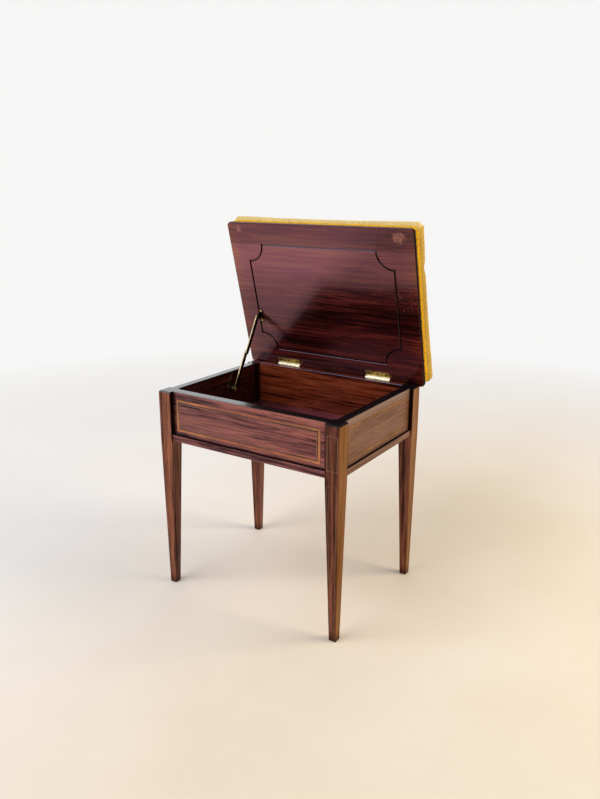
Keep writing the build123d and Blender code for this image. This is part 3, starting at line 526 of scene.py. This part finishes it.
def seat_cloth():
    """Dull gold woven cover: slubbed threads both ways and a faint worn mottle, with painted light in
    front.
    """
    material, tree, shader = start_finish("dull gold cloth")
    weft = cloud(tree, spread(tree, (260.0, 1500.0, 1500.0), turn=SEAT_TURN), detail=3.0)
    warp = cloud(tree, spread(tree, (1500.0, 260.0, 260.0), turn=SEAT_TURN), detail=3.0)
    weave = combine(tree, weft, warp, "MAXIMUM")
    slubs = cloud(tree, spread(tree, (420.0, 420.0, 420.0)), detail=3.0)
    fade_and_painted_light = cloud(tree, spread(tree, (14.0, 14.0, 14.0)), detail=4.0)
    colour = ramp(tree, weave, [(0.42, (0.31, 0.165, 0.014)), (0.55, (0.57, 0.35, 0.047)),
                                (0.72, (0.71, 0.49, 0.105))])
    colour = blend(tree, 0.6, colour, ramp(tree, slubs, [(0.3, 0.8), (0.7, 1.05)]), "MULTIPLY")
    colour = blend(tree, 0.5, colour, ramp(tree, fade_and_painted_light, [(0.3, 0.8), (0.7, 1.15)]), "MULTIPLY")
    # Painted light on the side that faces up while the lid is open
    colour = blend(tree, painted_top_light(tree), colour, tinted(tree, colour, (1.46, 1.76, 4.8)))
    tree.links.new(colour, shader.inputs["Base Color"])
    tree.links.new(ramp(tree, slubs, [(0.2, 0.75), (0.8, 0.95)]), shader.inputs["Roughness"])
    shader.inputs["Sheen Weight"].default_value = 0.25
    shader.inputs["Sheen Roughness"].default_value = 0.45
    shader.inputs["Sheen Tint"].default_value = (1.0, 0.86, 0.55, 1.0)
    relief(tree, shader, combine(tree, weave, slubs), 0.4, 0.0004)
    return material


def braid_silk(name, dark, light):
    """Bright gold threads of the braid, with painted light in front."""
    material, tree, shader = start_finish(name)
    strands = cloud(tree, spread(tree, (900.0, 900.0, 900.0)), detail=3.0)
    speckle = cloud(tree, spread(tree, (350.0, 350.0, 350.0)), detail=2.0)
    tone = combine(tree, product(tree, strands, 0.35), product(tree, speckle, 0.65))
    colour = ramp(tree, tone, [(0.39, dark), (0.52, light)])
    # Painted light on the side that faces up while the lid is open
    colour = blend(tree, painted_top_light(tree), colour, tinted(tree, colour, (1.15, 1.25, 3.5)))
    tree.links.new(colour, shader.inputs["Base Color"])
    tree.links.new(ramp(tree, strands, [(0.2, 0.45), (0.8, 0.7)]), shader.inputs["Roughness"])
    shader.inputs["Specular IOR Level"].default_value = 0.2
    shader.inputs["Sheen Weight"].default_value = 0.1
    shader.inputs["Sheen Tint"].default_value = (1.0, 0.80, 0.30, 1.0)
    relief(tree, shader, strands, 0.5, 0.0003)
    return material


# Mesh helpers

def new_piece(name, mesh_work, material, body="lid"):
    """A finished piece from a bmesh, standing at the origin and riding on a body."""
    data = bpy.data.meshes.new(name)
    mesh_work.to_mesh(data)
    mesh_work.free()
    piece = bpy.data.objects.new(name, data)
    bpy.context.scene.collection.objects.link(piece)
    data.materials.append(material)
    for face in data.polygons:
        face.use_smooth = True
    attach(piece, body)
    return piece


def side_bow(place, half):
    """How much of a side's draw a place along it takes: all in the middle, none at the corners."""
    return max(0.0, 1.0 - (place / half) ** 2)


# Cushion, made with the lid closed and its foot at height 0

GRID_STEPS = 40
WALL_STEPS = 3
ROLL_SHARE = 0.35
COVER_GAP = 0.0002
FILL_FRAMES = 20

# Pleats in the cover's corners with a ridge beside each, ripples and waves of the cover, and a dent
# in its right side
PLEAT_WIDTH, PLEAT_LENGTH, PLEAT_DEPTH, PLEAT_SINK = 0.0032, 0.026, 0.0018, 0.0010
RIDGE_PLACE, RIDGE_WIDTH, RIDGE_LENGTH, RIDGE_RISE = 0.0065, 0.0045, 0.030, 0.0006
EDGE_BAND = 0.020
RIPPLE_RATE, RIPPLE_DEPTH = 38.0, 0.0012
WAVE_RATE, WAVE_DEPTH, WAVE_START = 16.0, 0.0009, 0.03
DENT_PLACE, DENT_WIDTH, DENT_DEPTH = -0.083, 0.011, 0.0022


def way_in(place):
    """Way in from the wall for a ring at a place from 0 at the edge to 1 in the middle. The rolled edge
    has its own share of the places, so its rings lie close."""
    if place < ROLL_SHARE:
        return ROLL_SPAN * place / ROLL_SHARE
    return ROLL_SPAN + (SEAT_HALF_DEPTH - ROLL_SPAN) * (place - ROLL_SHARE) / (1.0 - ROLL_SHARE)


def roll_turn(way):
    """How far the rolled edge has turned, a way in from the top of the wall."""
    return ROLL_START + (ROLL_END - ROLL_START) * min(1.0, way / ROLL_SPAN)


def ring_half(way, half):
    """Half size of a ring. The rolled edge swells out past the wall's face; the last ring is a point."""
    left = half - SEAT_ROLL * (math.cos(ROLL_START) - math.cos(roll_turn(way)))
    return left * min(1.0, (SEAT_HALF_DEPTH - way) / (SEAT_HALF_DEPTH - ROLL_SPAN))


def seat_rise(way):
    """Height above the top of the wall, a way in from it."""
    rise = SEAT_ROLL * (math.sin(roll_turn(way)) - math.sin(ROLL_START))
    run = SEAT_HALF_DEPTH - SEAT_FLAT - ROLL_SPAN
    share = max(0.0, min(1.0, (way - ROLL_SPAN) / run))
    return rise + (SEAT_CROWN - SEAT_WALL - rise) * (1.0 - (1.0 - share) ** 2)


def along_ring(place):
    """Spreads places along a side, closer together near its corners."""
    return 0.25 * place + 0.75 * math.sin(place * math.pi / 2)


def crown_cushion(shrink):
    """A grid drawn into rounded rings of the cushion's crowned form, smaller by shrink, with its wall
    and its underside."""
    work = bmesh.new()
    bmesh.ops.create_grid(work, x_segments=GRID_STEPS, y_segments=GRID_STEPS, size=1.0)
    rim = [edge for edge in work.edges if edge.is_boundary]
    for vertex in work.verts:
        a, b, level = vertex.co
        ring = max(abs(a), abs(b), 1e-6)
        way = way_in(1.0 - min(1.0, ring))
        half_x, half_y = ring_half(way, SEAT_HALF_WIDTH - shrink), ring_half(way, SEAT_HALF_DEPTH - shrink)
        x, y = along_ring(a / ring) * half_x, along_ring(b / ring) * half_y
        corner = min(SEAT_CORNER, half_x, half_y)
        out_x, out_y = abs(x) - half_x + corner, abs(y) - half_y + corner
        if out_x > 0.0 and out_y > 0.0:
            grow = max(out_x, out_y) / max(1e-9, math.hypot(out_x, out_y))
            x = math.copysign(half_x - corner + out_x * grow, x)
            y = math.copysign(half_y - corner + out_y * grow, y)
        rise = seat_rise(way)
        draw = FOOT_DRAW + (SIDE_DRAW - FOOT_DRAW) * min(1.0, rise / SEAT_ROLL)
        x -= math.copysign(draw * side_bow(y, SEAT_HALF_DEPTH) * (abs(x) / SEAT_HALF_WIDTH) ** 6, x)
        y -= math.copysign(draw * side_bow(x, SEAT_HALF_WIDTH) * (abs(y) / SEAT_HALF_DEPTH) ** 6, y)
        vertex.co = (x, y, SEAT_WALL - shrink + rise)
    for step in range(WALL_STEPS):
        made = bmesh.ops.extrude_edge_only(work, edges=rim)["geom"]
        rim = [part for part in made if isinstance(part, bmesh.types.BMEdge)]
        lower = [part for part in made if isinstance(part, bmesh.types.BMVert)]
        bmesh.ops.translate(work, vec=(0.0, 0.0, -(SEAT_WALL - shrink) / WALL_STEPS), verts=lower)
    bmesh.ops.holes_fill(work, edges=rim)
    bmesh.ops.recalc_face_normals(work, faces=work.faces[:])
    return work


def swell(piece, held_below, pressure, cap):
    """Fills the cover with a cloth simulation; what the braid holds stays in place."""
    scene = bpy.context.scene
    held = piece.vertex_groups.new(name="held")
    for vertex in piece.data.vertices:
        if vertex.co.z < held_below:
            held.add([vertex.index], 1.0, "REPLACE")
    cloth = piece.modifiers.new("filling", "CLOTH")
    cloth.settings.quality = 5
    cloth.settings.mass = 0.25
    cloth.settings.tension_stiffness = 40.0
    cloth.settings.compression_stiffness = 40.0
    cloth.settings.bending_stiffness = 0.5
    cloth.settings.use_pressure = True
    cloth.settings.uniform_pressure_force = pressure
    cloth.settings.effector_weights.gravity = 0.0
    cloth.settings.vertex_group_mass = "held"
    for number in range(1, FILL_FRAMES + 1):
        scene.frame_set(number)
    filled = piece.evaluated_get(bpy.context.evaluated_depsgraph_get())
    moved = [vertex.co.copy() for vertex in filled.data.vertices]
    piece.modifiers.remove(cloth)
    piece.vertex_groups.clear()
    scene.frame_set(1)
    for vertex, place in zip(piece.data.vertices, moved):
        step = place - vertex.co
        if step.length > cap:
            step.length = cap
        vertex.co += step


def tuck_corners(point):
    """Draws a pleat into each corner of the cover, and ripples, waves and a dent into its edge."""
    x, y, z = point
    corner = Vector((math.copysign(SEAT_HALF_WIDTH, x), math.copysign(SEAT_HALF_DEPTH, y)))
    inward = Vector((-math.copysign(1.0, x), -math.copysign(1.0, y))).normalized()
    offset = Vector((x, y)) - corner
    reach = offset.dot(inward)
    aside = offset.x * inward.y - offset.y * inward.x
    above = max(0.0, min(1.0, (z - SEAT_WALL + 0.003) / 0.006))
    fold = math.exp(-(aside / PLEAT_WIDTH) ** 2) * math.exp(-(reach / PLEAT_LENGTH) ** 2) * above
    ridge = math.exp(-((aside - RIDGE_PLACE) / RIDGE_WIDTH) ** 2)
    ridge *= math.exp(-(reach / RIDGE_LENGTH) ** 2) * above
    shift = inward * (PLEAT_DEPTH * fold - RIDGE_RISE * ridge)
    edge = min(SEAT_HALF_WIDTH - abs(x), SEAT_HALF_DEPTH - abs(y))
    along = x if SEAT_HALF_DEPTH - abs(y) < SEAT_HALF_WIDTH - abs(x) else y
    band = math.exp(-(edge / EDGE_BAND) ** 2) * above
    ripple = noise.noise(Vector((along * RIPPLE_RATE, 3.1 if x > 0 else 7.7, 1.3 if y > 0 else 5.9)))
    wave = noise.noise(Vector((x * WAVE_RATE, y * WAVE_RATE, 2.0))) * min(1.0, edge / WAVE_START)
    lift = -RIPPLE_DEPTH * ripple * band + WAVE_DEPTH * wave
    dent = DENT_DEPTH * math.exp(-((y - DENT_PLACE) / DENT_WIDTH) ** 2) * band if x > 0.1 else 0.0
    return Vector((x + shift.x - dent, y + shift.y, z - PLEAT_SINK * fold + lift - dent))


def make_cushion(material):
    """The filled cover, with its pleats, in the place it has while the lid is open."""
    piece = new_piece("seat_cushion", crown_cushion(COVER_GAP), material)
    swell(piece, held_below=SEAT_WALL - 0.001, pressure=0.3, cap=0.004)
    work = bmesh.new()
    work.from_mesh(piece.data)
    bmesh.ops.subdivide_edges(work, edges=work.edges[:], cuts=1, use_grid_fill=True, smooth=0.6)
    for vertex in work.verts:
        vertex.co = seat_to_open @ tuck_corners(vertex.co)
    work.to_mesh(piece.data)
    work.free()
    piece.data.materials.clear()
    piece.data.materials.append(material)
    for face in piece.data.polygons:
        face.use_smooth = True
    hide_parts("seat_cover", "seat_stuffing")
    return piece


# Braid round the cushion's foot, with the lid closed and its foot at height 0

BRAID_WIDTH = 0.016
BACKING_INSET, BACKING_THICKNESS = 0.0004, 0.0006
CORD_INSET = 0.0010
STRAND_RADIUS, STRAND_TO_MIDDLE = 0.00048, 0.00036
STRAND_STEP, STEPS_IN_TWIST = 0.0011, 6
THREAD_LOOP_RADIUS, THREAD_RADIUS = 0.0023, 0.00055
THREAD_LOOP_SPACING = 0.0036
THREAD_LOOP_LEAN = math.radians(14.0)


def seat_loop(out):
    """A closed run of edges round the seat, outside its wall by out."""
    work = bmesh.new()
    bmesh.ops.create_grid(work, x_segments=1, y_segments=1, size=1.0)
    bmesh.ops.scale(work, vec=(SEAT_HALF_WIDTH + out, SEAT_HALF_DEPTH + out, 1.0), verts=work.verts[:])
    bmesh.ops.bevel(work, geom=work.verts[:], offset=SEAT_CORNER + out, offset_type="OFFSET", segments=6,
                    profile=0.5, affect="VERTICES", material=-1, clamp_overlap=False)
    bmesh.ops.delete(work, geom=work.faces[:], context="FACES_ONLY")
    long_edges = [edge for edge in work.edges if edge.calc_length() > 0.05]
    bmesh.ops.subdivide_edges(work, edges=long_edges, cuts=23)
    for vertex in work.verts:
        x, y, z = vertex.co
        if SEAT_HALF_WIDTH + out - abs(x) < 1e-5:
            x -= math.copysign(FOOT_DRAW * side_bow(y, SEAT_HALF_DEPTH), x)
        elif SEAT_HALF_DEPTH + out - abs(y) < 1e-5:
            y -= math.copysign(FOOT_DRAW * side_bow(x, SEAT_HALF_WIDTH), y)
        vertex.co = (x, y, z)
    return work


def loop_places(out, spacing):
    """Places and directions at even steps along the loop."""
    work = seat_loop(out)
    first = work.verts[:][0]
    points, last, here = [first.co.copy()], None, first
    while True:
        step = next(edge for edge in here.link_edges if edge is not last)
        last, here = step, step.other_vert(here)
        if here is first:
            break
        points.append(here.co.copy())
    work.free()
    lengths = [(points[(index + 1) % len(points)] - point).length for index, point in enumerate(points)]
    count = round(sum(lengths) / spacing)
    step = sum(lengths) / count
    places, index, passed = [], 0, 0.0
    for number in range(count):
        target = number * step
        while passed + lengths[index] < target:
            passed += lengths[index]
            index += 1
        run = points[(index + 1) % len(points)] - points[index]
        places.append((points[index] + run * ((target - passed) / lengths[index]), run.normalized()))
    return places


def braid_band(material):
    """The woven backing of the braid."""
    work = seat_loop(out=0.0001)
    bmesh.ops.extrude_edge_only(work, edges=work.edges[:])
    upper = work.verts[len(work.verts) // 2:]
    bmesh.ops.translate(work, vec=(0.0, 0.0, BRAID_WIDTH - 2 * BACKING_INSET), verts=upper)
    bmesh.ops.translate(work, vec=(0.0, 0.0, BACKING_INSET), verts=work.verts[:])
    bmesh.ops.recalc_face_normals(work, faces=work.faces[:])
    bmesh.ops.solidify(work, geom=work.faces[:], thickness=-BACKING_THICKNESS)
    bmesh.ops.recalc_face_normals(work, faces=work.faces[:])
    bmesh.ops.transform(work, matrix=seat_to_open, verts=work.verts[:])
    return new_piece("seat_braid_band", work, material)


def braid_cords(material):
    """Twisted cords along both edges of the braid."""
    work = bmesh.new()
    for level in (CORD_INSET, BRAID_WIDTH - CORD_INSET):
        for twist in (0.0, math.pi):
            strand = bpy.data.curves.new("strand", "CURVE")
            strand.dimensions = "3D"
            strand.bevel_depth = STRAND_RADIUS
            strand.bevel_resolution = 1
            places = loop_places(out=0.0008, spacing=STRAND_STEP)
            line = strand.splines.new("POLY")
            line.points.add(len(places) - 1)
            line.use_cyclic_u = True
            for number, (place, direction) in enumerate(places):
                turn = twist + number * 2 * math.pi / STEPS_IN_TWIST
                outward = direction.cross(Vector((0.0, 0.0, 1.0)))
                rise = level + STRAND_TO_MIDDLE * math.sin(turn)
                spot = place + outward * (STRAND_TO_MIDDLE * math.cos(turn)) + Vector((0.0, 0.0, rise))
                line.points[number].co = (*spot, 1.0)
            holder = bpy.data.objects.new("strand", strand)
            bpy.context.scene.collection.objects.link(holder)
            shown = holder.evaluated_get(bpy.context.evaluated_depsgraph_get())
            tube = bpy.data.meshes.new_from_object(shown)
            work.from_mesh(tube)
            bpy.data.objects.remove(holder)
            bpy.data.meshes.remove(tube)
            bpy.data.curves.remove(strand)
    bmesh.ops.transform(work, matrix=seat_to_open, verts=work.verts[:])
    return new_piece("seat_braid_cords", work, material)


def braid_loops(material):
    """A row of overlapping thread loops along the middle of the braid."""
    ring = bmesh.new()
    upright = Matrix.Translation((THREAD_LOOP_RADIUS, 0.0, 0.0)) @ Matrix.Rotation(math.pi / 2, 4, "X")
    circle = bmesh.ops.create_circle(ring, segments=6, radius=THREAD_RADIUS, matrix=upright)
    bmesh.ops.spin(ring, geom=circle["verts"] + ring.edges[:], cent=(0.0, 0.0, 0.0), axis=(0.0, 0.0, 1.0),
                   dvec=(0.0, 0.0, 0.0), angle=2 * math.pi, steps=10, use_merge=True)
    bmesh.ops.remove_doubles(ring, verts=ring.verts[:], dist=1e-6)
    bmesh.ops.recalc_face_normals(ring, faces=ring.faces[:])
    loop = bpy.data.meshes.new("loop")
    ring.to_mesh(loop)
    ring.free()
    work = bmesh.new()
    for place, direction in loop_places(out=0.0010, spacing=THREAD_LOOP_SPACING):
        before = len(work.verts)
        work.from_mesh(loop)
        outward = direction.cross(Vector((0.0, 0.0, 1.0)))
        lean = Matrix.Rotation(THREAD_LOOP_LEAN, 4, "Y")
        stand = Matrix((direction, Vector((0.0, 0.0, 1.0)), outward)).transposed().to_4x4()
        spot = Matrix.Translation(place + Vector((0.0, 0.0, BRAID_WIDTH / 2)))
        work.verts.ensure_lookup_table()
        bmesh.ops.transform(work, matrix=seat_to_open @ spot @ stand @ lean, verts=work.verts[before:])
    bpy.data.meshes.remove(loop)
    return new_piece("seat_braid_loops", work, material)


def make_braid():
    """The backing, the cords and the loops, which stand for the braid's solid."""
    silk = braid_silk("bright gold silk", (0.42, 0.18, 0.001), (0.92, 0.55, 0.010))
    backing = braid_silk("braid backing", (0.20, 0.07, 0.001), (0.84, 0.48, 0.006))
    band = braid_band(backing)
    cords = braid_cords(silk)
    loops = braid_loops(silk)
    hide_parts("seat_braid")


# Finishes of the solids

def paint(names, material):
    for name in names:
        slots = nodes[name].data.materials
        slots.clear()
        slots.append(material)


def front_marks(tree, colour):
    """The front apron's lines, with its tone evened out from left to right."""
    even = ramp(tree, shifted(tree, "X"), [(0.36, 0.82), (0.54, 1.45)])
    return apron_lines(tree, tinted(tree, colour, even), "X", "Y", middle=-0.00275, half=0.17975,
                       reach=0.192, strength=0.85)


def side_marks(tree, colour):
    """The side aprons' lines, and a pale strip along the top of the right one."""
    pale = product(tree, ramp(tree, part_of(tree, "Object", "Z"), [(0.425, 0.0), (0.456, 0.6)]),
                   ramp(tree, part_of(tree, "Object", "X"), RIGHT_SIDE), facing(tree, "X"))
    colour = blend(tree, pale, colour, (0.27, 0.190, 0.150))
    return apron_lines(tree, colour, "Y", "X", middle=BOX_MIDDLE_Y, half=0.127, reach=0.141,
                       strength=0.35)


def back_painted_reflection(tree, colour):
    """A painted reflection along the front edge on top of the back apron."""
    edge = ramp(tree, part_of(tree, "Object", "Y"),
                [(BACK_INSIDE_Y + 0.004, 1.0), (BACK_INSIDE_Y + 0.006, 0.0)])
    return blend(tree, product(tree, facing(tree, "Z", 0.6), edge), colour, (0.28, 0.25, 0.42)), 0.0


def floor_painted_sheen(tree, colour):
    """Darkens the floor's painted mauve sheen towards the left."""
    return tinted(tree, colour, ramp(tree, shifted(tree, "X"), [(0.38, 0.25), (0.66, 1.0)])), 0.0


def dress_wood():
    ends = ("front", "back")
    sides = ("left", "right")
    leg_wood = mahogany("leg mahogany", "Z", LEG, RIGHT_LIGHT_GOLDEN, gloss=1.7, tint=LEG_TINT, marks_and_painted_light=leg_light_and_shade)
    paint([f"leg_{end}_{side}" for end in ends for side in sides], leg_wood)
    paint([f"rail_{end}" for end in ends], mahogany("long mahogany", "X", RAIL))
    paint([f"rail_{side}" for side in sides], mahogany("side mahogany", "Y", PANEL))
    front_wood = mahogany("front mahogany", "X", PANEL, place=(0.0, 0.0, 0.35), marks_and_painted_light=front_marks)
    paint(["apron_front"], front_wood)
    paint([f"apron_{side}" for side in sides], mahogany("end mahogany", "Y", PANEL, marks_and_painted_light=side_marks))
    back_wood = mahogany("back mahogany", "X", INSIDE, gloss=1.7, tint=INSIDE_TINT, marks_and_painted_light=back_painted_reflection,
                         mirror_to=None)
    paint(["apron_back"], back_wood)
    floor_wood = mahogany("floor mahogany", "X", FLOOR, place=(0.1, 0.4, 0.2), marks_and_painted_light=floor_painted_sheen,
                          mirror_to=None)
    paint(["compartment_floor"], floor_wood)
    paint(["lid_board"], lid_mahogany())


def dress_inlay():
    along, across, upright = (60.0, 500.0, 500.0), (500.0, 60.0, 500.0), (500.0, 500.0, 60.0)
    satin = ((0.30, 0.078, 0.018), (0.62, 0.215, 0.052))
    fade_and_painted_light = ((0.17, 0.072, 0.025), (0.31, 0.140, 0.050))
    box = ((0.15, 0.055, 0.022), (0.33, 0.15, 0.060))
    dim = ((0.10, 0.034, 0.016), (0.25, 0.100, 0.042))
    paint(["apron_front_band"], inlay_wood("satinwood along", satin, along, RUBBED))
    paint(["apron_left_band"], inlay_wood("satinwood across", satin, across))
    paint(["apron_right_band", "apron_right_line"], inlay_wood("faded satinwood", fade_and_painted_light, across, coat=0.08))
    paint(["apron_front_line"], inlay_wood("boxwood along", box, along, RUBBED))
    paint(["apron_left_line"], inlay_wood("boxwood across", box, across))
    paint(["leg_stringing_left", "leg_stringing_right"], inlay_wood("boxwood upright", dim, upright))


def dress_brass():
    paint([name for name in nodes if name.startswith("hinge_")], hinge_brass())
    bright = brass("bright brass", (0.34, 0.22, 0.055), (0.62, 0.44, 0.13), (0.80, 0.62, 0.24))[0]
    paint(["stay_box_pin", "stay_lid_screws"], bright)
    paint(["stay_upper_arm", "stay_lower_arm", "stay_lid_pin", "stay_box_plate", "stay_box_screws"],
          shaded_and_lit_brass())
    black = brass("black brass", (0.010, 0.007, 0.005), (0.030, 0.021, 0.013), (0.070, 0.050, 0.030))[0]
    paint(["stay_elbow_rivet", "stay_lid_bracket", "hinge_lid_screws", "hinge_box_screws"], black)


# Stage

BACKDROP = (0.93, 0.925, 0.92, 1.0)


def make_floor():
    """A plain pale floor, warmer on the right, that fades into the background."""
    work = bmesh.new()
    bmesh.ops.create_grid(work, x_segments=1, y_segments=1, size=9.0)
    data = bpy.data.meshes.new("pale_floor")
    work.to_mesh(data)
    work.free()
    floor = bpy.data.objects.new("pale_floor", data)
    bpy.context.scene.collection.objects.link(floor)
    material, tree, shader = start_finish("pale floor")
    mottle = cloud(tree, spread(tree, (3.0, 3.0, 3.0)), detail=6.0)
    warm = ramp(tree, mottle, [(0.3, (0.80, 0.70, 0.57)), (0.7, (0.85, 0.76, 0.64))])
    cool = ramp(tree, mottle, [(0.3, (0.95, 0.91, 0.89)), (0.7, (0.97, 0.94, 0.92))])
    share = combine(tree, product(tree, part_of(tree, "Object", "X"), 0.3), 0.5)
    share = ramp(tree, share, [(0.30, 0.0), (0.55, 1.0)])
    tree.links.new(blend(tree, share, cool, warm), shader.inputs["Base Color"])
    shader.inputs["Roughness"].default_value = 0.6
    source = put(tree, "ShaderNodeTexCoord").outputs["Object"]
    away = put(tree, "ShaderNodeVectorMath", {0: source}, operation="LENGTH").outputs["Value"]
    far = ramp(tree, product(tree, away, 0.2), [(0.15, 0.0), (0.5, 1.0)])
    far = product(tree, far, put(tree, "ShaderNodeLightPath").outputs["Is Camera Ray"])
    pale = put(tree, "ShaderNodeEmission", {"Color": BACKDROP, "Strength": 1.0}).outputs[0]
    fade = put(tree, "ShaderNodeMixShader", {0: far, 1: shader.outputs[0], 2: pale}).outputs[0]
    tree.links.new(fade, tree.nodes["Material Output"].inputs["Surface"])
    data.materials.append(material)


def add_lamp(name, place, size, power, colour):
    """A square lamp aimed at the middle of the stool."""
    lamp = bpy.data.lights.new(name, "AREA")
    lamp.shape = "SQUARE"
    lamp.size = size
    lamp.energy = power
    lamp.color = colour
    holder = bpy.data.objects.new(name, lamp)
    bpy.context.scene.collection.objects.link(holder)
    holder.location = place
    aim = Vector((0.0, 0.0, 0.4)) - Vector(place)
    holder.rotation_euler = aim.to_track_quat("-Z", "Y").to_euler()
    return holder


def make_daylight():
    """Soft light all round, half as strong as it looks, and two large lamps."""
    world = bpy.data.worlds.new("soft daylight")
    bpy.context.scene.world = world
    world.use_nodes = True
    tree = world.node_tree
    background = tree.nodes["Background"]
    background.inputs["Color"].default_value = BACKDROP
    seen = put(tree, "ShaderNodeLightPath")
    direct = combine(tree, seen.outputs["Is Camera Ray"], seen.outputs["Is Glossy Ray"], clamp=True)
    direct = combine(tree, direct, seen.outputs["Is Transmission Ray"], clamp=True)
    tree.links.new(combine(tree, product(tree, direct, 0.5), 0.5), background.inputs["Strength"])
    add_lamp("room light", (-1.1, -2.2, 2.8), 2.4, 62.0, (0.93, 0.96, 1.0))
    window = add_lamp("window light", (2.2, 0.9, 1.7), 1.5, 50.0, (1.0, 0.87, 0.68))
    window.visible_glossy = False


def make_camera():
    """The photograph's view: yaw to the left, pitch down and a slight roll."""
    yaw, pitch, roll = 0.58009, -0.283112, 0.001735
    ahead = Vector((-math.sin(yaw) * math.cos(pitch), math.cos(yaw) * math.cos(pitch), math.sin(pitch)))
    right = ahead.cross(Vector((0.0, 0.0, 1.0))).normalized()
    upright = right.cross(ahead)
    tilted_right = right * math.cos(roll) + upright * math.sin(roll)
    tilted_up = upright * math.cos(roll) - right * math.sin(roll)
    data = bpy.data.cameras.new("camera")
    data.sensor_width = 36.0
    data.lens = 33.654
    camera = bpy.data.objects.new("camera", data)
    bpy.context.scene.collection.objects.link(camera)
    pose = Matrix((tilted_right, tilted_up, -ahead)).transposed().to_4x4()
    pose.translation = (0.870175, HINGE.y - 1.464682, 0.8822)
    camera.matrix_world = pose
    bpy.context.scene.camera = camera


dress_wood()
dress_inlay()
dress_brass()
make_cushion(seat_cloth())
make_braid()
make_floor()
make_daylight()
make_camera()
bpy.context.scene.view_settings.view_transform = "Standard"
